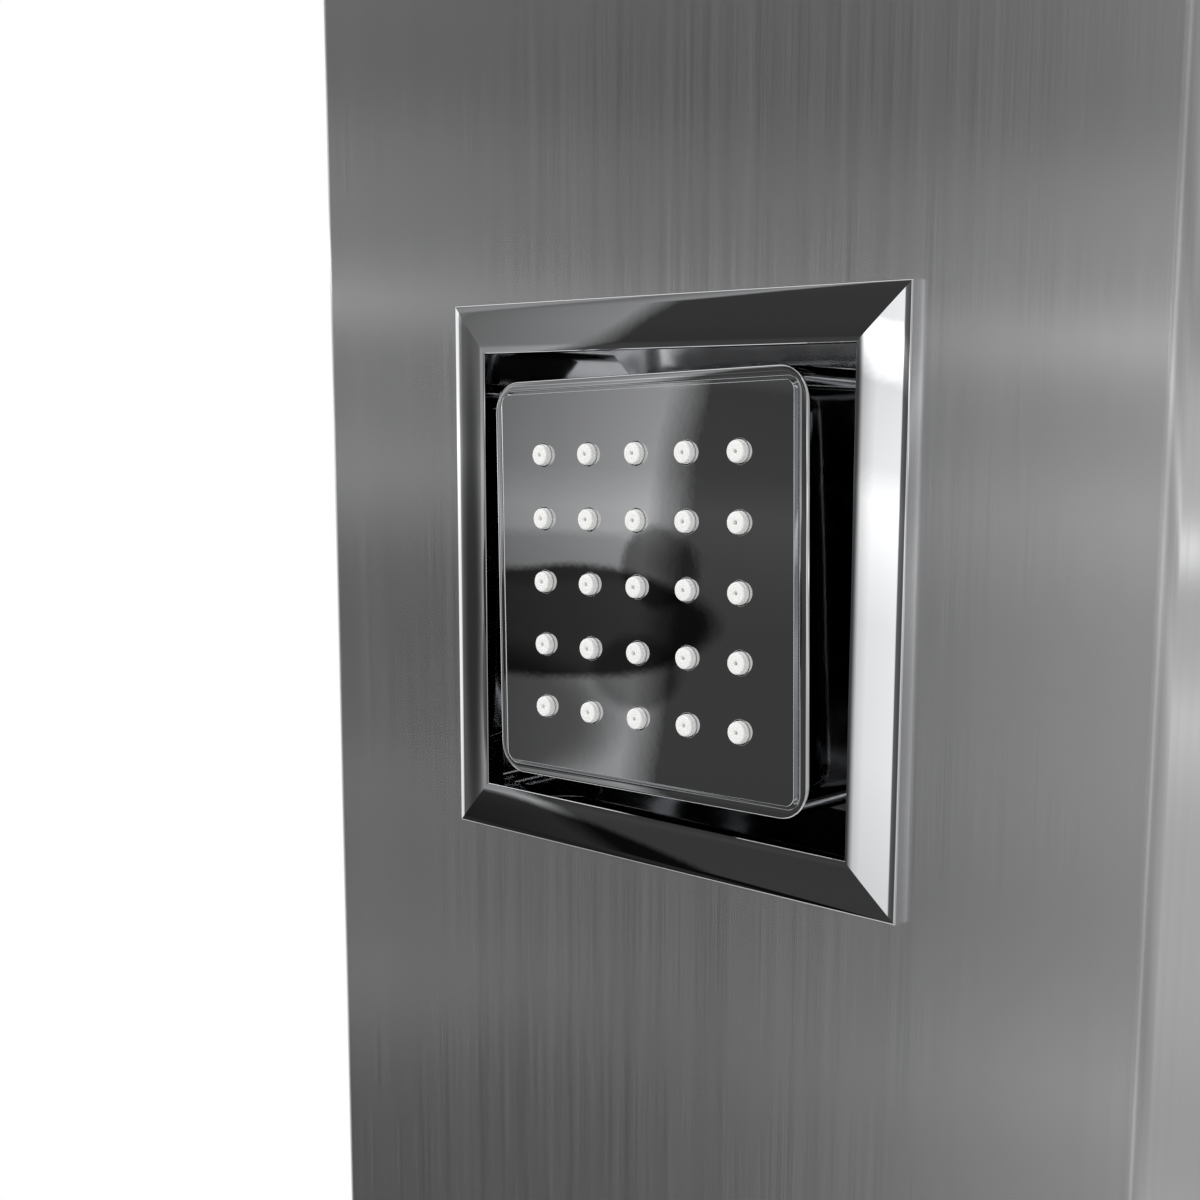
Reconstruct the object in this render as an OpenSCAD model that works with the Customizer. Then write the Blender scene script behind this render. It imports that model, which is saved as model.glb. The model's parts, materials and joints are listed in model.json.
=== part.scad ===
// Wall-hung rainfall shower column: a folded stainless panel with a rain head, three square body
// jets on ball swivels, a single-lever mixer, a diverter and the pipework behind them.
// +X is to the right of someone facing the panel, +Y goes into the wall, +Z is up.
// The origin is midway between the upper bracket's two wall screws, on the wall.

/* [Panel] */
// Width of the folded panel
panel_w = 200; // [166:1:240]
// Height of the folded panel
panel_h = 1300; // [1080:5:1600]
// Distance from the wall to the panel's front face
panel_d = 65; // [63:1:90]
// Thickness of the stainless sheet
sheet_t = 1.2; // [1:0.1:1.5]
// Outer radius of the folds
fold_r = 2.5; // [2:0.1:4]
// Width of the lips folded in along the open side
lip_w = 16; // [12:1:18]
// Air gap between the lips and the wall
wall_gap = 4; // [3:0.5:6]

/* [Body jets] */
// Height of the lowest jet above the panel's lower end
jet_low_h = 480; // [440:5:520]
// Distance between neighbouring jets
jet_pitch = 230; // [190:1:250]
// Outer width of the square bezel
bezel_w = 110; // [100:0.5:116]
// Width of each bezel bar, seen from the front
bezel_bar = 10; // [8:0.5:12]
// Height of the bezel's outer edge above the panel
bezel_edge_h = 2; // [1.5:0.1:3]
// Rise of the bezel from its outer edge to its inner edge
bezel_rise = 1.3; // [0.5:0.1:2]
// Gap between the bezel opening and the spray head
head_gap = 5; // [4.5:0.1:7]
// Depth of the spray head's side walls
head_side = 21.4; // [19:0.1:24]
// Height of the face plate above the panel
face_h = 6; // [4:0.1:7]
// Width of the spray head's rim and its groove together
head_rim = 2.6; // [2.2:0.1:3]
// Nozzles along one side of the spray face
nozzle_n = 5; // [3:1:6]
// Distance between neighbouring nozzles
nozzle_pitch = 12.6; // [11:0.1:13.5]
// Depth of the jet cup behind the panel's front face
cup_depth = 34; // [33:0.5:36]

/* [Rain head] */
// Reach of the rain head in front of the panel
rain_reach = 430; // [340:5:520]
// Height of the rain head's casing
rain_t = 24; // [22:0.5:30]
// Distance from the panel's upper end down to the top of the rain head
rain_drop = 14; // [10:1:30]
// Distance between neighbouring rain nozzles
rain_pitch = 22; // [18:1:30]
// Length of the nozzle field, measured back from the front
rain_field = 300; // [200:5:320]

/* [Controls] */
// Height of the mixer above the panel's lower end
mixer_h = 310; // [300:5:330]
// Height of the diverter above the panel's lower end
diverter_h = 170; // [150:5:180]
// Radius of the mixer cartridge
mixer_cart_r = 17.5; // [17:0.1:18.5]
// Radius of the diverter cartridge
diverter_cart_r = 13.5; // [12:0.1:14.5]
// Width of the mixer's square cover plate
mixer_plate_w = 80; // [70:1:90]
// Width of the diverter's square cover plate
diverter_plate_w = 64; // [56:1:74]
// Width of the mixer's square hub
hub_w = 46; // [46:0.5:52]
// Width of the diverter's square knob
knob_w = 40; // [38:0.5:48]
// Reach of the lever's blade below its pin
lever_reach = 84; // [70:1:110]

/* [Pipes] */
// Outer radius of the copper pipes
pipe_r = 7.5; // [7:0.1:8]
// Wall of the copper pipes
pipe_t = 1; // [0.8:0.1:1.5]
// Clearance between the lower bracket's hook and the pipes
pipe_gap = 0.5; // [0.5:0.1:2]
// Distance from the panel's side faces to the riser's centre line
riser_in = 20; // [18:0.5:22]
// Outer radius of the branches to the jets
branch_r = 5; // [4.5:0.1:5.5]
// Outer radius of the G1/2 threads
g12_r = 10.48; // [10.4:0.01:10.5]
// Distance between the hot and cold inlets
inlet_cc = 80; // [76:1:84]

/* [Wall brackets] */
// Distance from the panel's upper end to the upper bracket's screws
hang_drop = 120; // [100:1:160]
// Height of the lower bracket's screws above the panel's lower end
low_bracket_h = 60; // [50:1:70]
// Distance between a bracket's two wall screws
screw_cc = 80; // [60:1:100]
// Radius of the bracket's wall screw holes
screw_hole_r = 3; // [2.5:0.1:3.5]
// Thickness of the bracket and rail strip
strip_t = 2; // [1.5:0.1:2.2]

/* [Hidden] */
$fn = 64;

// Clearances
slip = 0.05;        // radial, a shaft or pin in its hole
loose = 0.3;        // a plate in its frame
ball_gap = 0.2;     // radial, between the swivel's spheres
cut = 1;            // how far a cutting tool runs past a face

// Heights, measured along Z
panel_top = hang_drop;
panel_low = hang_drop - panel_h;
BRACKET_Z = [0, panel_low + low_bracket_h];
JETS = [0, 1, 2];
// How each head rests on its ball: pitch, yaw and roll in degrees
JET_REST = [[0, 0, 0], [-1, -2.5, 1.9], [0, 0, 0]];

// Body jet, with z counted outwards from the panel's front face
opening_w = bezel_w - 2 * bezel_bar;
skirt_t = 1.2;
arris = 0.4;                                 // the bezel's broken edges
stud_r = 1.5;
stud_in = 4.5;                               // from the bezel's outer edge to a stud's centre
stud_at = bezel_w / 2 - stud_in;
stud_end = -8;
stud_nut_r = 3.1;
stud_nut_t = 2.4;
cup_t = 2;
cup_relief = 2;                              // how far the cup's walls stand back from the opening
cup_in = opening_w + 2 * cup_relief;
cup_flange_w = bezel_w - 2;
head_w = opening_w - 2 * head_gap;
head_corner = 6.5;
groove = 0.6;
rim_drop = 0.6;                              // how far the rim lies behind the face plate
plate_t = 1.5;
mat_t = 2;
plate_w = head_w - 2 * head_rim;
plate_corner = 2;
rim_z = face_h - rim_drop;
head_back = rim_z - head_side;
head_wall = 2;
plate_z = face_h - plate_t;
mat_z = plate_z - mat_t;
mat_w = plate_w - 2;
chamber_w = mat_w - 4;
nozzle_r = 1.95;
nozzle_ring_r = 2.1;
nozzle_out = 1.3;
nozzle_bore_r = 0.4;
plate_hole_r = 2.3;
ball_r = 11;
ball_z = head_back - 2;
ring_in = ball_r + ball_gap;
ring_out = ring_in + 2.3;
ring_half = 6;
socket_r = ring_out + ball_gap;
boss_r = socket_r + 3.3;
boss_low = ball_z - 4;
dome_top = ball_z + socket_r + 2.5;
collar_r = boss_r + 3;
collar_low = ball_z - 7;
tail_r = 9;
neck_r = 5;
tail_bore_r = 3.5;
seal_t = 1;
tail_flange_r = 13;
tail_flange_t = 3;
tail_end = -(panel_d - 7);
tail_branch = tail_r + 7;                    // reach of the side boss for the branch pipe
tail_boss_r = branch_r + 1.5;

// Panel and brackets
lip_y = -wall_gap;
rail_low = 20;
rail_height = 30;
bracket_w = 120;
bracket_half = 20;
ledge_out = wall_gap + sheet_t + strip_t + 0.8;
rail_screw_x = panel_w / 2 - lip_w / 2 - sheet_t;
rail_screw_rows = [8, 22];                   // above the rail's lower edge
hook_height = 14;
pipe_in = ledge_out + strip_t + pipe_gap + pipe_r;
port_z = -(panel_d - pipe_in);               // the pipes' axes, counted outwards from the front face
tail_nut_room = -port_z - tail_boss_r - cup_depth - cup_t;
tail_nut_t = min(4, tail_nut_room - 0.5);    // thinner where the branch boss comes close
screw_r = 1.95;
screw_head_r = 3.4;
screw_head_t = 1.8;
screw_len = 8;
plate_screw_len = 3;

// Rain head
rain_top = panel_top - rain_drop;
rain_low = rain_top - rain_t;
rain_front = -panel_d - rain_reach;
rain_plate_t = 1.5;
rain_mat_t = 2;
rain_lip = 10;
rain_mat_w = panel_w - 2 * (sheet_t + rain_lip + 3);
rain_box_w = panel_w - 2 * (sheet_t + 2);
rain_box_low = rain_low + rain_plate_t + rain_mat_t;
rain_box_top = rain_top - sheet_t - 0.5;
rain_cols = floor((rain_mat_w - 2 * 7) / rain_pitch) + 1;
rain_rows = floor((rain_field - 10) / rain_pitch) + 1;
rain_box_front = rain_front + 10;
rain_box_back = rain_box_front + rain_field + 20;
rain_box_wall = 1.5;
rain_first_row = 15;                         // behind the box's front
feed_in = 8;                                 // how far the feed reaches into the box
feed_spigot_r = min(pipe_r, (rain_box_top - rain_box_low) / 2 - rain_box_wall - loose);
rain_pipe_z = (rain_box_low + rain_box_top) / 2;
rain_nozzle_r = 2.1;
rain_hole_r = 2.6;
rain_nozzle_out = 2;

// Controls, with z counted outwards from the panel's front face
body_front = 6;
control_back = -(panel_d - 5);
body_wall = 6.5;
mixer_r = mixer_cart_r + body_wall;
diverter_r = diverter_cart_r + body_wall;
cover_t = 5;
hub_low = 7;
hub_top = 34;
cart_neck = 6.5;
ring_nut_t = 5;
spindle_r = 6;
spindle_top = 21;
slot_low = 22;
pin_r = 2.5;
pin_y = 12;
pin_z = 27;
tongue_w = 10;
blade_w = 28;
blade_low = 35.5;
blade_t = 5;
knob_top = 33;
knob_spindle_r = 4.5;
mixer_cart_len = 28;
diverter_cart_len = 26;
spindle_in = -10;
cart_neck_r = spindle_r + 6;
knob_neck_r = knob_spindle_r + 4.5;
knob_neck = 5;
knob_nut_t = 4;
water_way_r = 4.5;
port_r = 12;
socket_depth = 8;
port_reach = 34;
mixer_port_reach = port_reach + 2;
gallery_r = 11;                              // of the hot and cold ways across the valve
gallery_bore_r = 6;
gallery_z = port_z + gallery_r;
inlet_boss_r = g12_r + 2;
inlet_boss_half = gallery_r + 1;
inlet_bore_r = 7;

riser_x = panel_w / 2 - riser_in;
pipe_bore = pipe_r - pipe_t;
branch_bore = branch_r - pipe_t;
union_r = pipe_r + 5.5;
union_t = 10;
feed_joint_y = -panel_d + 18;                // where the riser meets the rain head's feed
outlet_down = 18;
hose_fix_r = 12.5;                           // the shank that is clamped to the lower end plate
hose_flange_r = 15;
hose_flange_t = 5;
hose_nut_r = 17;
hose_nut_t = 5;

STEEL = [0.62, 0.62, 0.63];
CHROME = [0.82, 0.83, 0.85];
BRASS = [0.78, 0.62, 0.32];
COPPER = [0.72, 0.42, 0.28];
WHITE = [0.95, 0.95, 0.94];
BLACK = [0.13, 0.13, 0.14];
ZINC = [0.7, 0.71, 0.72];

function jet_h(i) = jet_low_h + i * jet_pitch;
function grid(n, pitch) = [for (k = [0 : n - 1]) (k - (n - 1) / 2) * pitch];
function spread(n, length) = [for (k = [0 : n - 1]) (k / (n - 1) - 0.5) * length];

// Puts a piece drawn outwards along z on the panel's front face, h above the lower end
module on_face(h) {
    translate([0, -panel_d, panel_low + h]) rotate([90, 0, 0]) children();
}

// Puts a piece of a spray head, drawn in its jet's own place, at the head's resting turn
module on_ball(i) {
    on_face(jet_h(i)) translate([0, 0, ball_z]) rotate(JET_REST[i])
        translate([0, 0, -ball_z]) children();
}

// A square outline with rounded corners
module rounded_square(w, r) {
    square([w, w - 2 * r], center = true);
    square([w - 2 * r, w], center = true);
    for (x = [-1, 1], y = [-1, 1]) translate([x, y] * (w / 2 - r)) circle(r);
}

// A rounded square plate from z0 up to z1
module slab(w, r, z0, z1) {
    translate([0, 0, z0]) linear_extrude(height = z1 - z0) rounded_square(w, r);
}

module rod(r, z0, z1) {
    translate([0, 0, z0]) cylinder(r = r, h = z1 - z0);
}

// A round bar of radius r from point a to point b, along X, Y or Z
module bar(a, b, r) {
    v = b - a;
    turn = v[0] != 0 ? [0, sign(v[0]) * 90, 0] : v[1] != 0 ? [-sign(v[1]) * 90, 0, 0]
         : v[2] < 0 ? [180, 0, 0] : [0, 0, 0];
    translate(a) rotate(turn) cylinder(r = r, h = norm(v));
}

// A pipe of outer radius r through a list of points, with a round elbow at each bend
module run(points, r) {
    last = len(points) - 1;
    for (k = [1 : last]) bar(points[k - 1], points[k], r);
    if (last > 1) for (k = [1 : last - 1]) translate(points[k]) sphere(r);
}

module hex_nut(r, bore, t) {
    difference() {
        cylinder(r = r, h = t, $fn = 6);
        translate([0, 0, -cut]) cylinder(r = bore, h = t + 2 * cut);
    }
}

// A screw whose head stands on z = 0 and whose shank goes down
module screw(length) {
    cylinder(r = screw_head_r, h = screw_head_t);
    rod(screw_r, -length, 0);
}

// Outline of a folded channel, open towards +y, with its face on y = 0
module fold_outline(w, d, r) {
    translate([-w / 2, r]) square([w, d - r]);
    translate([-w / 2 + r, 0]) square([w - 2 * r, d]);
    for (x = [-1, 1]) translate([x * (w / 2 - r), r]) circle(r);
}

module channel(w, d, lip) {
    difference() {
        fold_outline(w, d, fold_r);
        translate([0, sheet_t]) fold_outline(w - 2 * sheet_t, d - 2 * sheet_t, fold_r - sheet_t);
        square_w = w - 2 * (sheet_t + lip);
        translate([-square_w / 2, d - 2 * sheet_t]) square([square_w, 3 * sheet_t]);
    }
}

// ---- Panel and brackets ----

module front_panel() {
    color(STEEL) difference() {
        union() {
            translate([0, -panel_d, panel_low]) linear_extrude(height = panel_h)
                channel(panel_w, panel_d - wall_gap, lip_w);
            for (z = [panel_low, panel_top - sheet_t]) translate([0, -panel_d, z])
                linear_extrude(height = sheet_t) fold_outline(panel_w, panel_d - wall_gap, fold_r);
        }
        for (i = JETS) on_face(jet_h(i)) jet_cutout();
        on_face(mixer_h) rod(mixer_r + 1, -sheet_t - cut, cut);
        on_face(diverter_h) rod(diverter_r + 1, -sheet_t - cut, cut);
        for (p = rain_fixings()) on_face(p[1] - panel_low) translate([p[0], 0, 0])
            rod(screw_r + slip, -sheet_t - cut, cut);
        translate([riser_x, -panel_d + sheet_t + cut, rain_pipe_z]) rotate([90, 0, 0])
            cylinder(r = pipe_r + 1, h = sheet_t + 2 * cut);
        translate([0, -pipe_in, panel_low - cut]) cylinder(r = hose_fix_r + 0.1, h = sheet_t + 2 * cut);
        for (z = BRACKET_Z) rail_holes(z);
    }
}

module jet_cutout() {
    side = opening_w + 2 * (skirt_t + 0.1);
    translate([-side / 2, -side / 2, -sheet_t - cut]) cube([side, side, sheet_t + 2 * cut]);
    at_studs() rod(stud_r + 0.2, -sheet_t - cut, cut);
}

// The screw holes that join a rail to the panel's lips
module rail_holes(z) {
    at_rail_screws(z) rotate([90, 0, 0])
        translate([0, 0, -cut]) cylinder(r = screw_r + slip, h = screw_len + cut);
}

module at_rail_screws(z) {
    for (x = [-1, 1], dz = rail_screw_rows) translate([x * rail_screw_x, lip_y, z + rail_low + dz])
        children();
}

// A flat strip across the lips; its lower edge hangs on the bracket's ledge
module rail(z) {
    color(ZINC) difference() {
        rail_w = panel_w - 2 * sheet_t - 4;
        translate([-rail_w / 2, lip_y - sheet_t - strip_t, z + rail_low])
            cube([rail_w, strip_t, rail_height]);
        rail_holes(z);
    }
}

module upper_rail() { rail(BRACKET_Z[0]); }
module lower_rail() { rail(BRACKET_Z[1]); }

module rail_screws() {
    color(ZINC) for (z = BRACKET_Z) at_rail_screws(z) rotate([-90, 0, 0])
        screw(screw_len);
}

// A wall plate with a ledge and an upturned hook, two screw holes in a line
module bracket(z) {
    color(ZINC) translate([-bracket_w / 2, 0, z]) difference() {
        union() {
            translate([0, -strip_t, -bracket_half]) cube([bracket_w, strip_t, bracket_half + rail_low]);
            translate([0, -ledge_out - strip_t, rail_low - strip_t])
                cube([bracket_w, ledge_out + strip_t, strip_t]);
            translate([0, -ledge_out - strip_t, rail_low - strip_t])
                cube([bracket_w, strip_t, hook_height]);
        }
        for (x = [-1, 1]) translate([bracket_w / 2 + x * screw_cc / 2, cut, 0]) rotate([90, 0, 0])
            cylinder(r = screw_hole_r, h = strip_t + 2 * cut);
    }
}

module upper_bracket() { bracket(BRACKET_Z[0]); }
module lower_bracket() { bracket(BRACKET_Z[1]); }

// ---- Rain head ----

// Screws through the panel's face into the casing's back wall, clear of the feed pipe
function rain_fixings() =
    [for (x = spread(4, 2 * (riser_x - pipe_r - 12))) [x, rain_low + rain_t / 2]];

module rain_housing() {
    color(STEEL) difference() {
        union() {
            translate([0, -panel_d, rain_top]) rotate([90, 0, 0]) linear_extrude(height = rain_reach)
                mirror([0, 1]) channel(panel_w, rain_t - rain_plate_t, rain_lip);
            for (y = [rain_front + sheet_t, -panel_d]) translate([0, y, rain_top])
                rotate([90, 0, 0]) linear_extrude(height = sheet_t)
                mirror([0, 1]) fold_outline(panel_w, rain_t, fold_r);
            for (x = [-panel_w / 2, panel_w / 2 - sheet_t]) translate([x, rain_front, rain_low])
                cube([sheet_t, rain_reach, rain_t / 2]);
        }
        for (p = rain_fixings()) on_face(p[1] - panel_low) translate([p[0], 0, 0])
            rod(screw_r + slip, -cut, sheet_t + cut);
        at_plate_screws() rod(screw_r + slip, -cut, rain_plate_t + sheet_t + cut);
        translate([riser_x, -panel_d + cut, rain_pipe_z]) rotate([90, 0, 0])
            cylinder(r = pipe_r + 1, h = sheet_t + 2 * cut);
    }
}

module at_plate_screws() {
    for (x = [-1, 1], y = spread(3, rain_reach - 60))
        translate([x * (panel_w / 2 - sheet_t - rain_lip / 2), y + (rain_front - panel_d) / 2, rain_low])
        children();
}

// Centres of the rain nozzles, on the rain plate's lower face
module at_rain_nozzles() {
    for (x = grid(rain_cols, rain_pitch), k = [0 : rain_rows - 1])
        translate([x, rain_box_front + rain_first_row + k * rain_pitch, rain_low]) children();
}

module rain_plate() {
    color(STEEL) difference() {
        plate_gap = sheet_t + loose;
        translate([-panel_w / 2 + plate_gap, rain_front + plate_gap, rain_low])
            cube([panel_w - 2 * plate_gap, rain_reach - 2 * plate_gap, rain_plate_t]);
        at_rain_nozzles() rod(rain_hole_r, -cut, rain_plate_t + cut);
        at_plate_screws() rod(screw_r + slip, -cut, rain_plate_t + cut);
    }
}

// A closed box over the nozzle mat, with the feed pipe let into its back
module rain_water_box() {
    wall = rain_box_wall;
    color(BLACK) difference() {
        length = rain_box_back - rain_box_front;
        height = rain_box_top - rain_box_low;
        translate([-rain_box_w / 2, rain_box_front, rain_box_low]) cube([rain_box_w, length, height]);
        translate([-rain_box_w / 2 + wall, rain_box_front + wall, rain_box_low + wall])
            cube([rain_box_w - 2 * wall, length - 2 * wall, height - 2 * wall]);
        translate([riser_x, rain_box_back + cut, rain_pipe_z]) rotate([90, 0, 0])
            cylinder(r = feed_spigot_r + slip, h = wall + 2 * cut);
        at_rain_nozzles() rod(rain_nozzle_r / 2, 0, rain_plate_t + rain_mat_t + wall + cut);
    }
}

module rain_nozzles() {
    color(WHITE) difference() {
        union() {
            translate([-rain_mat_w / 2, rain_box_front + 1, rain_low + rain_plate_t])
                cube([rain_mat_w, rain_box_back - rain_box_front - 2, rain_mat_t]);
            at_rain_nozzles() rod(rain_nozzle_r, -rain_nozzle_out, rain_plate_t + rain_mat_t / 2);
        }
        at_rain_nozzles() rod(rain_nozzle_r / 4, -rain_nozzle_out - cut, rain_plate_t + rain_mat_t + cut);
    }
}

// From the riser's joint to the box, where a spigot goes through the box's back wall
module rain_feed_pipe() {
    end = rain_box_back - feed_in;
    bore = feed_spigot_r - pipe_t;
    color(COPPER) difference() {
        union() {
            bar([riser_x, feed_joint_y, rain_pipe_z], [riser_x, rain_box_back + 1, rain_pipe_z], pipe_r);
            bar([riser_x, rain_box_back + 2, rain_pipe_z], [riser_x, end, rain_pipe_z], feed_spigot_r);
        }
        bar([riser_x, feed_joint_y + cut, rain_pipe_z], [riser_x, end - cut, rain_pipe_z], bore);
    }
}

module rain_screws() {
    color(ZINC) {
        for (p = rain_fixings()) translate([p[0], -panel_d + sheet_t, p[1]]) rotate([-90, 0, 0])
            screw(screw_len);
        at_plate_screws() mirror([0, 0, 1]) screw(plate_screw_len);
    }
}

// ---- Body jets ----

module at_studs() {
    for (x = [-1, 1], y = [-1, 1]) translate([x * stud_at, y * stud_at, 0]) children();
}

module at_nozzles() {
    for (x = grid(nozzle_n, nozzle_pitch), y = grid(nozzle_n, nozzle_pitch)) translate([x, y, 0])
        children();
}

// One mitred bar of the bezel, from its skirt in the opening to its outer edge
module bezel_side() {
    inner = opening_w / 2;
    outer = bezel_w / 2;
    crest = bezel_edge_h + bezel_rise;
    wedge = bezel_w;
    intersection() {
        rotate([90, 0, 0]) linear_extrude(height = 2 * bezel_w, center = true) polygon([
            [inner, -sheet_t], [inner, crest - arris], [inner + arris, crest],
            [outer - arris, bezel_edge_h + arris / 3], [outer, bezel_edge_h - arris / 2], [outer, 0],
            [inner + skirt_t, 0], [inner + skirt_t, -sheet_t],
        ]);
        translate([0, 0, -wedge / 2]) linear_extrude(height = wedge)
            polygon([[0, 0], [wedge, -wedge], [wedge, wedge]]);
    }
}

module bezel(i) {
    color(CHROME) on_face(jet_h(i)) {
        for (turn = [0 : 90 : 270]) rotate([0, 0, turn]) bezel_side();
        at_studs() rod(stud_r, stud_end, bezel_edge_h / 2);
    }
}

module cup(i) {
    floor_z = -cup_depth;
    color(CHROME) on_face(jet_h(i)) difference() {
        union() {
            slab(cup_flange_w, 3, -sheet_t - cup_t, -sheet_t);
            slab(cup_in + 2 * cup_t, 5, floor_z - cup_t, -sheet_t);
        }
        slab(cup_in, 3, floor_z, cut);
        rod(tail_r + slip, floor_z - cup_t - cut, cut);
        at_studs() rod(stud_r + 0.1, -sheet_t - cup_t - cut, cut);
    }
}

// The water inlet: a threaded shank through the cup's floor with the hollow ball at its front end
module tail(i) {
    flange_z = -cup_depth + seal_t;
    color(BRASS) on_face(jet_h(i)) difference() {
        union() {
            translate([0, 0, ball_z]) sphere(ball_r);
            rod(neck_r, flange_z, ball_z);
            rod(tail_flange_r, flange_z, flange_z + tail_flange_t);
            rod(tail_r, tail_end, flange_z + cut);
            bar([0, 0, port_z], [-tail_branch, 0, port_z], tail_boss_r);
        }
        rod(tail_bore_r, port_z - branch_r, 0);
        bar([0, 0, port_z], [-tail_branch - cut, 0, port_z], tail_bore_r);
        bar([-tail_r - 1, 0, port_z], [-tail_branch - cut, 0, port_z], branch_r + slip);
    }
}

// The low-friction ring between the ball and the head's socket
module seat_ring(i) {
    color(WHITE) on_face(jet_h(i)) translate([0, 0, ball_z]) rotate_extrude() difference() {
        intersection() {
            circle(ring_out);
            translate([0, -ring_half]) square([2 * ring_out, 2 * ring_half]);
        }
        circle(ring_in);
    }
}

// The square spray head: a rimmed box with the socket for the ball in its back
module head_shell(i) {
    color(CHROME) on_ball(i) difference() {
        union() {
            difference() {
                slab(head_w, head_corner, head_back, rim_z);
                slab(plate_w + 2 * groove, plate_corner + groove, plate_z, rim_z + cut);
                slab(mat_w + 0.2, 2, mat_z, rim_z + cut);
                slab(chamber_w, 2, head_back + head_wall, rim_z + cut);
            }
            rod(boss_r, boss_low, dome_top);
        }
        translate([0, 0, ball_z]) sphere(socket_r);
        rod(socket_r, boss_low - cut, ball_z);
        rod(tail_bore_r + 1, ball_z, dome_top + cut);
    }
}

module face_plate(i) {
    color(CHROME) on_ball(i) difference() {
        slab(plate_w, plate_corner, plate_z, face_h);
        at_nozzles() rod(plate_hole_r, plate_z - cut, face_h + cut);
    }
}

module nozzles(i) {
    color(WHITE) on_ball(i) difference() {
        union() {
            slab(mat_w, 2, mat_z, plate_z);
            at_nozzles() {
                rod(nozzle_ring_r, plate_z, face_h + 0.5);
                rod(nozzle_r, plate_z, face_h + nozzle_out);
            }
        }
        at_nozzles() rod(nozzle_bore_r, mat_z - cut, face_h + nozzle_out + cut);
    }
}

// The screwed ring that holds the seat ring in the head's socket
module collar(i) {
    color(CHROME) on_ball(i) difference() {
        rod(collar_r, collar_low, head_back - 0.5);
        rod(boss_r + slip, boss_low, head_back);
        translate([0, 0, ball_z]) sphere(socket_r);
    }
}

module bezel_nuts() {
    color(ZINC) for (i = JETS) on_face(jet_h(i)) at_studs()
        translate([0, 0, -sheet_t - cup_t - stud_nut_t]) hex_nut(stud_nut_r, stud_r + slip, stud_nut_t);
}

module tail_seals() {
    color(BLACK) for (i = JETS) on_face(jet_h(i)) difference() {
        rod(tail_flange_r, -cup_depth, -cup_depth + seal_t);
        rod(tail_r + slip, -cup_depth - cut, -cup_depth + seal_t + cut);
    }
}

module tail_nuts() {
    color(ZINC) for (i = JETS) on_face(jet_h(i))
        translate([0, 0, -cup_depth - cup_t - tail_nut_t]) hex_nut(15, tail_r + slip, tail_nut_t);
}

// ---- Controls ----

// A straight port with a socket for a pipe, from the middle of a valve towards [dx, dy]
module port(dir, reach) {
    bar([0, 0, port_z], [dir[0] * reach, dir[1] * reach, port_z], port_r);
}

// The hole of such a port, wide at its mouth where the pipe is let in
module port_bore(dir, reach) {
    inner = reach - socket_depth;
    far = reach + cut;
    bar([0, 0, port_z], [dir[0] * far, dir[1] * far, port_z], pipe_bore);
    bar([dir[0] * inner, dir[1] * inner, port_z], [dir[0] * far, dir[1] * far, port_z], pipe_r + slip);
}

// The brass valve: hot and cold come in from the wall side, mixed water leaves downwards
module mixer_body() {
    half = inlet_cc / 2;
    way = mixer_cart_r / 2;
    floor_z = body_front - mixer_cart_len;
    color(BRASS) on_face(mixer_h) difference() {
        union() {
            rod(mixer_r, control_back, body_front);
            bar([-half, 0, gallery_z], [half, 0, gallery_z], gallery_r);
            port([0, -1], mixer_port_reach);
            for (x = [-half, half]) translate([x, 0, 0]) {
                rod(inlet_boss_r, gallery_z - inlet_boss_half, gallery_z + inlet_boss_half);
                rod(g12_r, control_back, gallery_z);
            }
        }
        rod(mixer_cart_r + slip, floor_z, body_front + cut);
        for (x = [-1, 1]) {
            translate([x * way, 0, 0]) rod(water_way_r, gallery_z, floor_z + cut);
            bar([x * way, 0, gallery_z], [x * half, 0, gallery_z], gallery_bore_r);
            translate([x * half, 0, 0])
                rod(inlet_bore_r, control_back - cut, gallery_z + inlet_bore_r);
        }
        translate([0, -way, 0]) rod(water_way_r, port_z, floor_z + cut);
        translate([0, -way, 0]) port_bore([0, -1], mixer_port_reach - way);
    }
}

module mixer_cartridge() {
    floor_z = body_front - mixer_cart_len;
    color(WHITE) on_face(mixer_h) difference() {
        union() {
            rod(mixer_cart_r, floor_z, body_front);
            rod(cart_neck_r, body_front - cut, body_front + cart_neck);
        }
        rod(spindle_r + slip, spindle_in - 2, body_front + cart_neck + cut);
        for (p = [[-1, 0], [1, 0], [0, -1]]) translate(p * mixer_cart_r / 2)
            rod(water_way_r - 1, floor_z - cut, floor_z + 4);
    }
}

module mixer_ring_nut() {
    color(BRASS) on_face(mixer_h) difference() {
        rod(mixer_cart_r + 3, body_front, body_front + ring_nut_t);
        rod(cart_neck_r + 0.1, body_front - cut, body_front + ring_nut_t + cut);
    }
}

module cover_plate(w, hole_r) {
    difference() {
        slab(w, 3, 0, cover_t);
        rod(hole_r + 0.2, -cut, cover_t + cut);
    }
}

module mixer_cover_plate() {
    color(CHROME) on_face(mixer_h) cover_plate(mixer_plate_w, mixer_r);
}

module mixer_spindle() {
    color(ZINC) on_face(mixer_h) rod(spindle_r, spindle_in, spindle_top);
}

// The square block that turns with the spindle; the lever's tongue rocks in its slot
module mixer_hub() {
    slot_half = tongue_w / 2 + 0.2;
    color(CHROME) on_face(mixer_h) difference() {
        slab(hub_w, 3, hub_low, hub_top);
        rod(mixer_cart_r + 4, hub_low - cut, hub_low + 7);
        rod(spindle_r + slip, hub_low, slot_low);
        translate([-slot_half, 2, slot_low]) cube([2 * slot_half, 18.5, hub_top]);
        bar([-hub_w / 2 + 2, pin_y, pin_z], [hub_w / 2 + cut, pin_y, pin_z], pin_r + slip);
    }
}

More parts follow.
